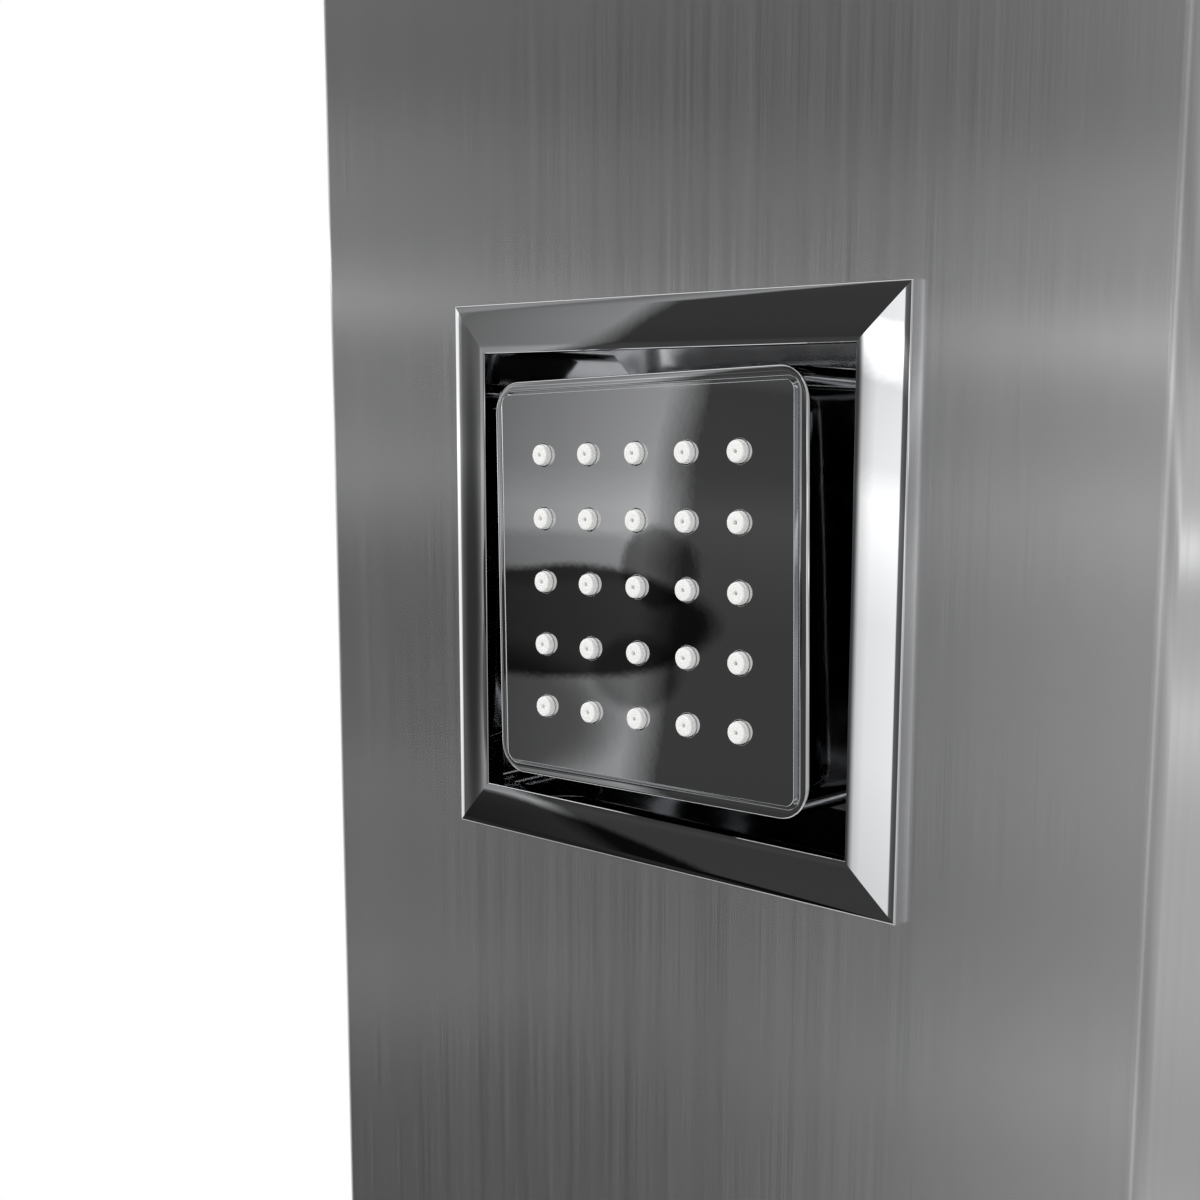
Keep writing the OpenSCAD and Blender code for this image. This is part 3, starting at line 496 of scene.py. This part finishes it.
def channel_outline(width, depth, lip, fold):
    """Outer outline of a folded channel, from one lip's edge round the face to the other's: straight
    runs joined by quarter circles. Its face lies on b = 0 and its lips at b = depth."""
    half = width / 2
    corners = [(-half + lip, depth), (-half, depth), (-half, 0), (half, 0), (half, depth),
               (half - lip, depth)]
    quarter = np.linspace(0, np.pi / 2, 9)
    points = [np.array(corners[0])[None]]
    for before, corner, after in zip(corners, corners[1:], corners[2:]):
        before, corner, after = (np.array(p, float) for p in (before, corner, after))
        way_in = (corner - before) / np.linalg.norm(corner - before)
        way_out = (after - corner) / np.linalg.norm(after - corner)
        centre = corner - way_in * fold + way_out * fold
        points.append(centre - np.cos(quarter)[:, None] * way_out * fold
                      + np.sin(quarter)[:, None] * way_in * fold)
    points.append(np.array(corners[-1])[None])
    return np.concatenate(points)


def with_stops(outline, stops):
    """Adds points to the outline's face (b = 0) at each of the given a, in order."""
    on_front = np.abs(outline[:, 1]) < 1e-9
    first, last = np.flatnonzero(on_front)[[0, -1]]
    inner = np.array([[a, 0.0] for a in sorted(stops)]).reshape(-1, 2)
    return np.concatenate([outline[:first + 1], inner, outline[last:]])


def sheet_grid(outline, rows, openings, front):
    """Points and faces of a sheet: the outline repeated at each row, without the cells of its face
    that lie in an opening (a0, a1, c0, c1). Its face lies at y = front. Also returns the grain's UV:
    distance along the outline, and along the rows."""
    columns = len(outline)
    a = np.broadcast_to(outline[None, :, 0], (len(rows), columns))
    b = np.broadcast_to(outline[None, :, 1], (len(rows), columns))
    c = np.broadcast_to(np.array(rows)[:, None], (len(rows), columns))
    faces = grid_faces(len(rows), columns)
    mid_a, mid_b, mid_c = (v.reshape(-1)[faces].mean(1) for v in (a, b, c))
    keep = np.ones(len(faces), bool)
    for a0, a1, c0, c1 in openings:
        keep &= ~((mid_b < 1e-6) & (mid_a > a0) & (mid_a < a1) & (mid_c > c0) & (mid_c < c1))
    step = np.linalg.norm(np.diff(outline, axis=0), axis=1)
    run = np.broadcast_to(np.concatenate([[0], np.cumsum(step)])[None], (len(rows), columns))
    points = np.stack([a, b + front, c], -1).reshape(-1, 3)
    return points, faces[keep], np.stack([run, c], -1).reshape(-1, 2)


def sheet_object(name, points, faces, uv, thickness, material, body, replaced, outward):
    """A folded sheet: one surface with its grain's UV map, thickened inwards. outward is a point
    number and the direction in which the surface faces there."""
    used = np.unique(faces)
    renumber = np.zeros(len(points), int)
    renumber[used] = np.arange(len(used))
    faces = renumber[faces]
    points, uv = points[used], uv[used]
    a, b, c = (points[faces[0, k]] for k in range(3))
    if np.dot(np.cross(b - a, c - b), np.array(outward)) < 0:
        faces = faces[:, ::-1]
    mesh = bpy.data.meshes.new(name)
    mesh.from_pydata(points, [], faces.tolist())
    layer = mesh.uv_layers.new(name="Grain")
    layer.data.foreach_set("uv", uv[faces.reshape(-1)].astype(np.float32).reshape(-1))
    mesh.shade_smooth()
    mesh.set_sharp_from_angle(angle=math.radians(30))
    piece = finished(name, mesh, material, body, replaced)
    wall = piece.modifiers.new("Sheet", "SOLIDIFY")
    wall.thickness = thickness
    wall.offset = -1.0
    wall.use_even_offset = True
    edge = piece.modifiers.new("Deburred edge", "BEVEL")
    edge.width = 0.15 * MM
    edge.segments = 2
    edge.limit_method = "ANGLE"
    edge.angle_limit = math.radians(50)
    flat = piece.modifiers.new("Flat faces", "WEIGHTED_NORMAL")
    flat.weight = 100
    flat.keep_sharp = False
    return piece


class ShowerPanel(bpy.types.Operator):
    """Builds the folded stainless panel with its openings and its two end plates"""
    bl_idname = "shower.panel"
    bl_label = "Folded panel"

    def execute(self, context):
        """Sweeps the folded outline up the panel and leaves out the cells of each opening."""
        sizes, jet = context.scene.shower_sheet, context.scene.shower_jet
        low, high = PANEL_LOW, PANEL_HIGH
        width, depth = high.x - low.x, high.y - low.y
        openings = []
        clearance, body_margin = 0.1 * MM, 7.5 * MM
        for n in JET_NUMBERS:
            x, z, half = jet_centre(n)
            hole = half - jet.bar + jet.skirt + clearance
            openings.append((x - hole, x + hole, z - hole, z + hole))
        for body in ("mixer_body", "diverter_body"):
            cover_low, cover_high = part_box(body.replace("body", "cartridge"))
            x, z = (cover_low.x + cover_high.x) / 2, (cover_low.z + cover_high.z) / 2
            hole = (cover_high.x - cover_low.x) / 2 + body_margin
            openings.append((x - hole, x + hole, z - hole, z + hole))
        outline = channel_outline(width, depth, sizes.lip + sizes.thickness, sizes.fold)
        stops = sorted({round(v, 7) for o in openings for v in o[:2]})
        ends = (low.z + sizes.thickness, high.z - sizes.thickness)
        rows = sorted({*ends, *(v for o in openings for v in o[2:])})
        points, faces, uv = sheet_grid(with_stops(outline, stops), rows, openings, low.y)
        sheet_object("panel_sheet", points, faces, uv, sizes.thickness, FINISH["folded_sheet"],
                     "column", ["front_panel"], (0, 1, 0))
        for tag, z0 in (("upper", high.z - sizes.thickness), ("lower", low.z)):
            self.end_plate(f"panel_{tag}_end", width, depth, z0, sizes)
        return {"FINISHED"}

    def end_plate(self, name, width, depth, z0, sizes):
        """A flat plate with the panel's own outline, rounded at the folds, closing one end."""
        outline = channel_outline(width, depth, width / 2, sizes.fold)
        ring = np.column_stack([outline[:, 0], outline[:, 1] + PANEL_LOW.y])
        plate = Surface()
        soft = 0.3 * MM
        rings = []
        for inset, z in ((soft, z0), (0, z0 + soft), (0, z0 + sizes.thickness - soft),
                         (soft, z0 + sizes.thickness)):
            middle = np.array([0, PANEL_LOW.y + depth / 2])
            scale = 1 - inset / np.array([width / 2, depth / 2])
            rings.append(np.column_stack([(ring - middle) * scale + middle, np.full(len(ring), z)]))
        plate.tube(np.stack(rings))
        plate.object(name, FINISH["brushed_steel"], "column")


# ---- Body jets ---------------------------------------------------------------------------------

class ShowerBezels(bpy.types.Operator):
    """Builds the mitred square bezel round each body jet"""
    bl_idname = "shower.bezels"
    bl_label = "Bezels"

    def execute(self, context):
        """Carries the bar's section round a square, so that the corners are mitres."""
        jet = context.scene.shower_jet
        for n in JET_NUMBERS:
            x, z, half = jet_centre(n)
            inner, crest = half - jet.bar, jet.edge + jet.rise
            across = np.linspace(0.04, 0.96, 9)
            crown = np.column_stack([inner + jet.bar * across,
                                     crest - jet.rise * across + jet.crown * 4 * across * (1 - across)])
            inner_turn = fillet((inner, crest), (inner, 0), crown[0], 0.3 * MM, 4)
            outer_turn = fillet((half, jet.edge), crown[-1], (half, 0), 0.3 * MM, 4)
            section = np.concatenate([
                [[inner, -jet.skirt]], inner_turn, crown[1:-1], outer_turn,
                [[half, 0], [inner + jet.skirt, 0], [inner + jet.skirt, -jet.skirt]]])
            corner = np.array([[1, 1], [-1, 1], [-1, -1], [1, -1]], float)
            rings = np.concatenate([section[:, None, :1] * corner[None],
                                    np.repeat(section[:, None, 1:], 4, 1)], -1)
            bezel = Surface()
            bezel.tube(on_face(rings, x, z), closed=True)
            piece = bezel.object(f"jet_{n}_mitred_bezel", FINISH["chrome"], "column",
                                 [f"jet_{n}_bezel"])
            self.keep_mitres(piece.data)
        return {"FINISHED"}

    @staticmethod
    def keep_mitres(mesh):
        """Marks the edges along each mitre sharp: both ends are the same corner of the square."""
        pairs = np.zeros(len(mesh.edges) * 2, int)
        mesh.edges.foreach_get("vertices", pairs)
        pairs = pairs.reshape(-1, 2)
        sharp = np.zeros(len(mesh.edges), bool)
        mesh.attributes["sharp_edge"].data.foreach_get("value", sharp)
        sharp |= pairs[:, 0] % 4 == pairs[:, 1] % 4
        mesh.attributes["sharp_edge"].data.foreach_set("value", sharp)


class ShowerHeads(bpy.types.Operator):
    """Builds the square chrome shell of each spray head, with the socket for its ball"""
    bl_idname = "shower.heads"
    bl_label = "Spray heads"

    def execute(self, context):
        """Lofts rounded squares up the outside, over the rim and down into the chamber."""
        jet = context.scene.shower_jet
        for n in JET_NUMBERS:
            half = jet_centre(n)[2] - jet.bar - HEAD_GAP
            rim_z = jet.face - jet.rim_drop
            back = rim_z - jet.depth
            plate = half - jet.rim
            recess, pocket, chamber = plate + jet.groove, plate - 0.9 * MM, plate - 3 * MM
            ledge, wall, throat = jet.face - 1.5 * MM, 2 * MM, 20 * MM
            corners = [(half, back), (half, rim_z), (recess, rim_z), (recess, ledge), (pocket, ledge),
                       (pocket, ledge - wall), (chamber, ledge - wall), (chamber, back + wall)]
            soft = [1.2 * MM, jet.soft, 0.25 * MM, 0, 0, 0, 0, 0]
            section = softened_profile([(throat, back)] + corners + [(throat, back + wall)],
                                       [0] + soft + [0])
            inner_corner = jet.plate_corner + jet.groove
            radius = np.interp(section[:, 0], [recess, half], [inner_corner, jet.corner])
            rings = loft([(h, min(r, h - 1 * MM), z) for (h, z), r in zip(section, radius)], 10)
            shell = Surface()
            shell.tube(on_head(rings, n), closed=True)
            ball_z = back - 2 * MM
            socket, boss = 13.7 * MM, 17 * MM
            boss_low, boss_top = ball_z - 4 * MM, ball_z + 16.2 * MM
            arc = np.radians(np.linspace(72, 0, 9))
            hollow = np.column_stack([socket * np.cos(arc), ball_z + socket * np.sin(arc)])
            cup = np.concatenate([hollow, [[socket, boss_low], [boss, boss_low], [boss, boss_top],
                                           [hollow[0, 0], boss_top]]])
            shell.tube(on_head(revolve(cup, 48), n), closed=True)
            shell.object(f"jet_{n}_spray_head", FINISH["chrome"], f"jet_{n}_head",
                         [f"jet_{n}_head_shell"])
        return {"FINISHED"}


class ShowerFacePlates(bpy.types.Operator):
    """Finishes each spray head's drilled face plate"""
    bl_idname = "shower.face_plates"
    bl_label = "Face plates"

    def execute(self, context):
        """Breaks the plate's outer edge and the rim of each hole, and paints shade on the holes' walls."""
        for n in JET_NUMBERS:
            plate = soften(f"jet_{n}_face_plate", FINISH["chrome"], 0.12)
            self.paint_hole_shade(plate.data, n, context.scene.shower_jet)
        return {"FINISHED"}

    @staticmethod
    def paint_hole_shade(mesh, n, jet):
        """Paints shade on the walls of the holes by giving them the black plastic: a dark sleeve stands for
        the shade inside each hole. A wall face stands square to the plate, with its middle within a hole's
        radius of a nozzle's axis."""
        # Painted shade: the hole walls get the black plastic where they only lie in shade
        mesh.materials.append(FINISH["black_plastic"])
        middles = np.zeros(len(mesh.polygons) * 3)
        normals = np.zeros(len(mesh.polygons) * 3)
        mesh.polygons.foreach_get("center", middles)
        mesh.polygons.foreach_get("normal", normals)
        axes = on_head([[x, y, jet.face] for x in nozzle_steps(jet) for y in nozzle_steps(jet)], n)
        outwards = np.diff(on_head([[0, 0, 0], [0, 0, 1]], n), axis=0)[0]
        away = middles.reshape(-1, 1, 3) - axes[None]
        away -= (away @ outwards)[..., None] * outwards
        near = np.linalg.norm(away, axis=-1).min(1) < 3 * MM
        square = np.abs(normals.reshape(-1, 3) @ outwards) < 0.2
        mesh.polygons.foreach_set("material_index", (near & square).astype(np.int32))


def nozzle_steps(jet):
    """Offsets of the rows of nozzles from the middle of the head."""
    return (np.arange(jet.count) - (jet.count - 1) / 2) * jet.pitch


def nozzle_profile(root, face, ring, tip, proud, bore):
    """Half-section of a rubber nozzle from its root: a base ring, a waist, a slightly tapered tip
    with a round edge, and a blind bore."""
    shoulder = face + proud * 0.25
    end = face + proud
    corners = [(ring, root), (ring, shoulder), (tip * 1.02, shoulder), (tip, end), (bore, end),
               (bore * 0.8, end - proud)]
    return softened_profile(corners, [0, ring * 0.09, ring * 0.04, tip * 0.17, bore * 0.5, 0])


class ShowerNozzles(bpy.types.Operator):
    """Moulds the silicone nozzle mats of the body jets"""
    bl_idname = "shower.nozzles"
    bl_label = "Jet nozzles"

    def execute(self, context):
        """Turns one nozzle's section and repeats it over the square field, with the mat behind."""
        jet = context.scene.shower_jet
        steps = nozzle_steps(jet)
        profile = nozzle_profile(jet.face - 1.6 * MM, jet.face, 2.1 * MM, 2.0 * MM, 1.3 * MM, 0.4 * MM)
        one = revolve(profile, 28)
        for n in JET_NUMBERS:
            mat = Surface()
            for x in steps:
                for y in steps:
                    mat.tube(on_head(one + [x, y, 0], n))
            half = jet_centre(n)[2] - jet.bar - HEAD_GAP - jet.rim - 1 * MM
            top = jet.face - 1.5 * MM
            mat.tube(on_head(loft([(half, 2 * MM, top - 2 * MM), (half, 2 * MM, top)]), n))
            mat.object(f"jet_{n}_nozzle_mat", FINISH["silicone"], f"jet_{n}_head",
                       [f"jet_{n}_nozzles"], 40)
        return {"FINISHED"}


# ---- Rain head ---------------------------------------------------------------------------------

class ShowerRainHead(bpy.types.Operator):
    """Finishes the rain head's folded casing and plate and moulds its silicone nozzles"""
    bl_idname = "shower.rain_head"
    bl_label = "Rain head"

    def execute(self, context):
        """Breaks the casing's and the plate's edges and hangs the nozzles through the plate."""
        soften("rain_housing", FINISH["brushed_steel"], 0.25)
        soften("rain_plate", FINISH["brushed_steel"], 0.2)
        self.nozzles(context.scene.shower_sheet)
        return {"FINISHED"}

    def nozzles(self, sizes):
        """The rain head's nozzles, hanging through the plate, with their mat above it."""
        low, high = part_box("rain_plate")
        mat_low, mat_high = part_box("rain_nozzles")
        profile = nozzle_profile(-1 * MM, 0, 2.3 * MM, 2.0 * MM, low.z - mat_low.z, 0.5 * MM)
        one = revolve(profile, 14) * [1, 1, -1]
        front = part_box("rain_housing")[0].y + sizes.rain_first
        mat = Surface()
        for k in range(sizes.rain_columns):
            x = (k - (sizes.rain_columns - 1) / 2) * sizes.rain_pitch
            for row in range(sizes.rain_rows):
                mat.tube(one + [x, front + row * sizes.rain_pitch, low.z])
        corners = np.array([[mat_low.x, mat_low.y], [mat_high.x, mat_low.y], [mat_high.x, mat_high.y],
                            [mat_low.x, mat_high.y]])
        mat.tube(np.stack([np.column_stack([corners, np.full(4, z)]) for z in (high.z, mat_high.z)]))
        mat.object("rain_nozzle_mat", FINISH["silicone"], "column", ["rain_nozzles"], 40)


# ---- Controls, pipes and hardware --------------------------------------------------------------

class ShowerControls(bpy.types.Operator):
    """Finishes the lever, hub, knob and cover plates with softly rounded plated edges"""
    bl_idname = "shower.controls"
    bl_label = "Controls"

    def execute(self, context):
        """Rounds each piece's edges by a width that suits its size."""
        for node, width in (("mixer_lever", 0.9), ("mixer_hub", 0.9), ("mixer_cover_plate", 0.6),
                            ("diverter_knob", 0.9), ("diverter_cover_plate", 0.6)):
            soften(node, FINISH["chrome"], width)
        return {"FINISHED"}


class ShowerPipework(bpy.types.Operator):
    """Finishes the brass, copper and zinc pieces behind the panel"""
    bl_idname = "shower.pipework"
    bl_label = "Pipework and brackets"

    def execute(self, context):
        """Gives every machined and pressed piece a narrow broken edge."""
        slots = {p["node"]: p["material_slot"] for p in frame["record"]["subparts"]}
        widths = {"upper_bracket": 0.3, "lower_bracket": 0.3, "upper_rail": 0.3, "lower_rail": 0.3,
                  "pipe_nuts": 0.5, "tail_nuts": 0.4, "bezel_nuts": 0.2, "hose_outlet": 0.3,
                  "mixer_body": 0.6, "diverter_body": 0.6, "rain_water_box": 0.3}
        for n in JET_NUMBERS:
            widths[f"jet_{n}_cup"] = 0.3
        for node, width in widths.items():
            soften(node, FINISH[slots[node]], width)
        return {"FINISHED"}


# ---- Studio ------------------------------------------------------------------------------------

# The room as the metal sees it: (degrees, brightness) round from the left, and from low to high. The
# stops are chosen so that the middle jet and the sheet round it show bands of light and dark
ROOM_ROUND = ((-180, 0.7), (-78, 1.0), (-70, 0.9), (-65, 0.11), (-58, 0.11), (-56, 0.3), (-52, 0.3),
              (-51, 0.15), (-44.2, 0.33), (-43.8, 0.045), (-26, 0.045), (-22, 0.5), (-18.5, 0.84),
              (-11, 0.9), (-9, 0.12), (3, 0.06), (6, 0.75), (24, 0.8), (26, 0.3), (60, 0.4), (180, 0.6))
ROOM_UP = ((-90, 0.9), (-30, 1.0), (-25, 0.97), (-22.5, 1.25), (-19, 0.97), (-16.5, 0.9), (-12, 1.1),
           (-7, 1.12), (-5.5, 1.25), (-2.9, 1.65), (-1.5, 1.2), (1.9, 1.05), (2.35, 2.9), (2.85, 2.9),
           (3.3, 1.18), (6.5, 1.2), (8.0, 1.15), (9.5, 0.78), (11.5, 0.82), (14, 0.9), (40, 1.1), (90, 1.2))
# Dark soft patches: (azimuth, elevation, half-width, half-height), softness, share of light left
ROOM_DARK = (((-48.6, -6.2, 5.6, 2.0), 0.2, 0.1), ((-52.0, -9.6, 5.4, 2.6), 0.5, 0.3),
             ((-45.6, -7.9, 1.6, 1.3), 0.4, 0.45), ((-44.9, -4.2, 1.3, 1.5), 0.3, 0.35),
             ((-48.5, -3.9, 4.5, 1.0), 0.5, 0.72), ((-61.5, -7.0, 3.2, 7.8), 0.9, 0.28),
             ((-52, -35, 8.7, 15.0), 0.12, 0.08))


ROOM_TILT, ROOM_TILT_AT = 0.039, -28.0   # the level bands fall to the right, and keep their height here
LEAN_ABOVE, LEAN_BELOW = 0.12, 0.1       # the upright bands lean, in degrees a degree of height
FLOOR_DROP, FLOOR_RADIUS, FLOOR_THICKNESS = 0.75, 1.2, 0.01
CAMERA_PLACE = (0.1974, -0.2344, 0.0336)  # from the middle of the turned jet, on its bezel's edge
CAMERA_TURN = (41.78, -8.36, 0.06)        # yaw, pitch and roll in degrees
CAMERA_LENS, CAMERA_SHIFT = 48.33, (-0.0066, 0.039)


class ShowerStudio(bpy.types.Operator):
    """Sets the pale floor, the room that the metal reflects, the soft lights and the camera"""
    bl_idname = "shower.studio"
    bl_label = "Studio"

    def execute(self, context):
        """Builds the world, the floor, two lamps and the camera."""
        self.world(context.scene)
        self.floor()
        self.lamps(context.scene)
        self.camera(context.scene)
        return {"FINISHED"}

    @staticmethod
    def ramp(tree, value, stops):
        """Brightness along one angle: value in degrees against (degree, brightness) stops."""
        low, high = stops[0][0], stops[-1][0]
        node = add(tree, "ShaderNodeValToRGB", links={"Fac": ranged(tree, value, low, high, 0.0, 1.0)})
        elements = node.color_ramp.elements
        elements[1].position = 1.0
        for _ in stops[2:]:
            elements.new(0.5)
        for element, (degree, level) in zip(elements, stops):
            element.position = (degree - low) / (high - low)
            element.color = (level, level, level, 1.0)
        return node.outputs["Color"]

    @staticmethod
    def shade_patch(tree, azimuth, elevation, level, box, soft, factor):
        """Multiplies level by factor inside a soft-edged ellipse; box holds its middle and its half
        sizes in azimuth and elevation, in degrees."""
        a, e, half_a, half_e = box
        across = math_node(tree, "DIVIDE", math_node(tree, "SUBTRACT", azimuth, a), half_a)
        up = math_node(tree, "DIVIDE", math_node(tree, "SUBTRACT", elevation, e), half_e)
        squares = math_node(tree, "ADD", math_node(tree, "MULTIPLY", across, across),
                            math_node(tree, "MULTIPLY", up, up))
        outside = smooth_step(tree, squares, 1.0 - soft, 1.0 + soft)
        keep = math_node(tree, "ADD", math_node(tree, "MULTIPLY", outside, 1.0 - factor), factor)
        return math_node(tree, "MULTIPLY", level, keep)

    def world(self, scene):
        """A white surround for the eye; for reflections, a made-up room given as brightness over
        azimuth (0 straight out from the wall, growing to the right) times brightness over elevation,
        less a few dark soft-edged ellipses."""
        world = bpy.data.worlds.new("studio")
        scene.world = world
        scene.view_settings.view_transform = "Standard"
        world.use_nodes = True
        tree = world.node_tree
        tree.nodes.clear()
        place = add(tree, "ShaderNodeTexCoord")
        way = add(tree, "ShaderNodeSeparateXYZ", links={"Vector": place.outputs["Generated"]})
        degrees = 180 / math.pi
        turned = math_node(tree, "MULTIPLY", way.outputs["Y"], -1.0)
        azimuth = math_node(tree, "MULTIPLY", math_node(tree, "ARCTAN2", way.outputs["X"], turned), degrees)
        elevation = math_node(tree, "MULTIPLY", math_node(tree, "ARCSINE", way.outputs["Z"], 0.0), degrees)
        beside = math_node(tree, "ADD", azimuth, -ROOM_TILT_AT)
        sloped = math_node(tree, "ADD", elevation, math_node(tree, "MULTIPLY", beside, ROOM_TILT))
        above = math_node(tree, "MULTIPLY", math_node(tree, "MAXIMUM", elevation, 0.0), LEAN_ABOVE)
        below = math_node(tree, "MULTIPLY", math_node(tree, "MINIMUM", elevation, 0.0), LEAN_BELOW)
        leaning = math_node(tree, "SUBTRACT", azimuth, math_node(tree, "ADD", above, below))
        level = math_node(tree, "MULTIPLY", self.ramp(tree, leaning, ROOM_ROUND),
                          self.ramp(tree, sloped, ROOM_UP))
        for box, soft, factor in ROOM_DARK:
            level = self.shade_patch(tree, azimuth, elevation, level, box, soft, factor)
        room = add(tree, "ShaderNodeBackground", {"Strength": 1.0}, {"Color": level})
        white = add(tree, "ShaderNodeBackground", {"Color": (1, 1, 1, 1), "Strength": 1.0})
        ray = add(tree, "ShaderNodeLightPath")
        mix = add(tree, "ShaderNodeMixShader", links={0: ray.outputs["Is Camera Ray"],
                                                      1: room.outputs[0], 2: white.outputs[0]})
        add(tree, "ShaderNodeOutputWorld", links={"Surface": mix.outputs[0]})

    def floor(self):
        """A pale disc under the column, at the height of a shower tray below a hung panel."""
        disc = Surface()
        z = PANEL_LOW.z - FLOOR_DROP
        ring = revolve([(FLOOR_RADIUS, 0.0), (FLOOR_RADIUS, -FLOOR_THICKNESS)], 96)
        disc.tube(ring[::-1] + [0, -0.2, z])
        mesh = bpy.data.meshes.new("floor")
        mesh.from_pydata(np.concatenate(disc.points), [], disc.faces)
        floor = bpy.data.objects.new("floor", mesh)
        bpy.context.scene.collection.objects.link(floor)
        material, _, _ = finish("pale_floor", Base_Color=linear("EDEDEB"), Roughness=0.7)
        mesh.materials.append(material)

    @staticmethod
    def lamps(scene):
        """Two large soft lamps that light the silicone but don't show in the chrome."""
        target = Vector((0, PANEL_LOW.y, jet_centre(TURNED_JET)[1]))
        for name, spot, size, power in (("key_lamp", (-0.9, -1.3, 1.0), 0.9, 22.0),
                                        ("fill_lamp", (1.4, -0.9, 0.2), 1.2, 8.0)):
            light = bpy.data.lights.new(name, "AREA")
            light.size, light.energy = size, power
            lamp = bpy.data.objects.new(name, light)
            lamp.location = target + Vector(spot)
            lamp.rotation_mode = "QUATERNION"
            lamp.rotation_quaternion = (target - lamp.location).to_track_quat("-Z", "Y")
            lamp.visible_glossy = False
            scene.collection.objects.link(lamp)

    @staticmethod
    def camera(scene):
        """Stands to the right of the middle jet, a little above it, turned 42 degrees to the left."""
        x, z, _ = jet_centre(TURNED_JET)
        edge = scene.shower_jet.edge
        data = bpy.data.cameras.new("camera")
        camera = bpy.data.objects.new("camera", data)
        camera.location = Vector((x, face_y() - edge, z)) + Vector(CAMERA_PLACE)
        yaw, pitch, roll = (math.radians(a) for a in CAMERA_TURN)
        camera.matrix_world = (Matrix.Translation(camera.location) @ Matrix.Rotation(yaw, 4, "Z")
                               @ Matrix.Rotation(math.pi / 2 + pitch, 4, "X")
                               @ Matrix.Rotation(roll, 4, "Z"))
        data.sensor_width = 36.0
        data.lens = CAMERA_LENS
        data.shift_x, data.shift_y = CAMERA_SHIFT
        data.clip_start = 0.01
        scene.collection.objects.link(camera)
        scene.camera = camera


OPERATORS = (ShowerFinishes, ShowerPanel, ShowerBezels, ShowerHeads, ShowerFacePlates, ShowerNozzles,
             ShowerRainHead, ShowerControls, ShowerPipework, ShowerStudio)


class ShowerPanelUI(bpy.types.Panel):
    """Lists the shower column's pieces in the 3D view's sidebar"""
    bl_idname = "VIEW3D_PT_shower_column"
    bl_label = "Shower column"
    bl_space_type = "VIEW_3D"
    bl_region_type = "UI"
    bl_category = "Shower"

    def draw(self, context):
        """One button for each piece, then the sizes and colours."""
        for operator in OPERATORS:
            self.layout.operator(operator.bl_idname)
        for key, group in GROUPS.items():
            box = self.layout.box()
            for name in group.__annotations__:
                box.prop(getattr(context.scene, key), name)


CLASSES = (*GROUPS.values(), *OPERATORS, ShowerPanelUI)


def register():
    """Registers the classes and hangs the settings on the scene."""
    for item in CLASSES:
        bpy.utils.register_class(item)
    for key, group in GROUPS.items():
        setattr(bpy.types.Scene, key, PointerProperty(type=group))


def unregister():
    """Takes the settings and classes away again."""
    for key in GROUPS:
        delattr(bpy.types.Scene, key)
    for item in reversed(CLASSES):
        bpy.utils.unregister_class(item)


def main():
    """Builds everything in order."""
    register()
    for operator in OPERATORS:
        getattr(bpy.ops.shower, operator.bl_idname.split(".")[1])()


if __name__ == "__main__":
    main()
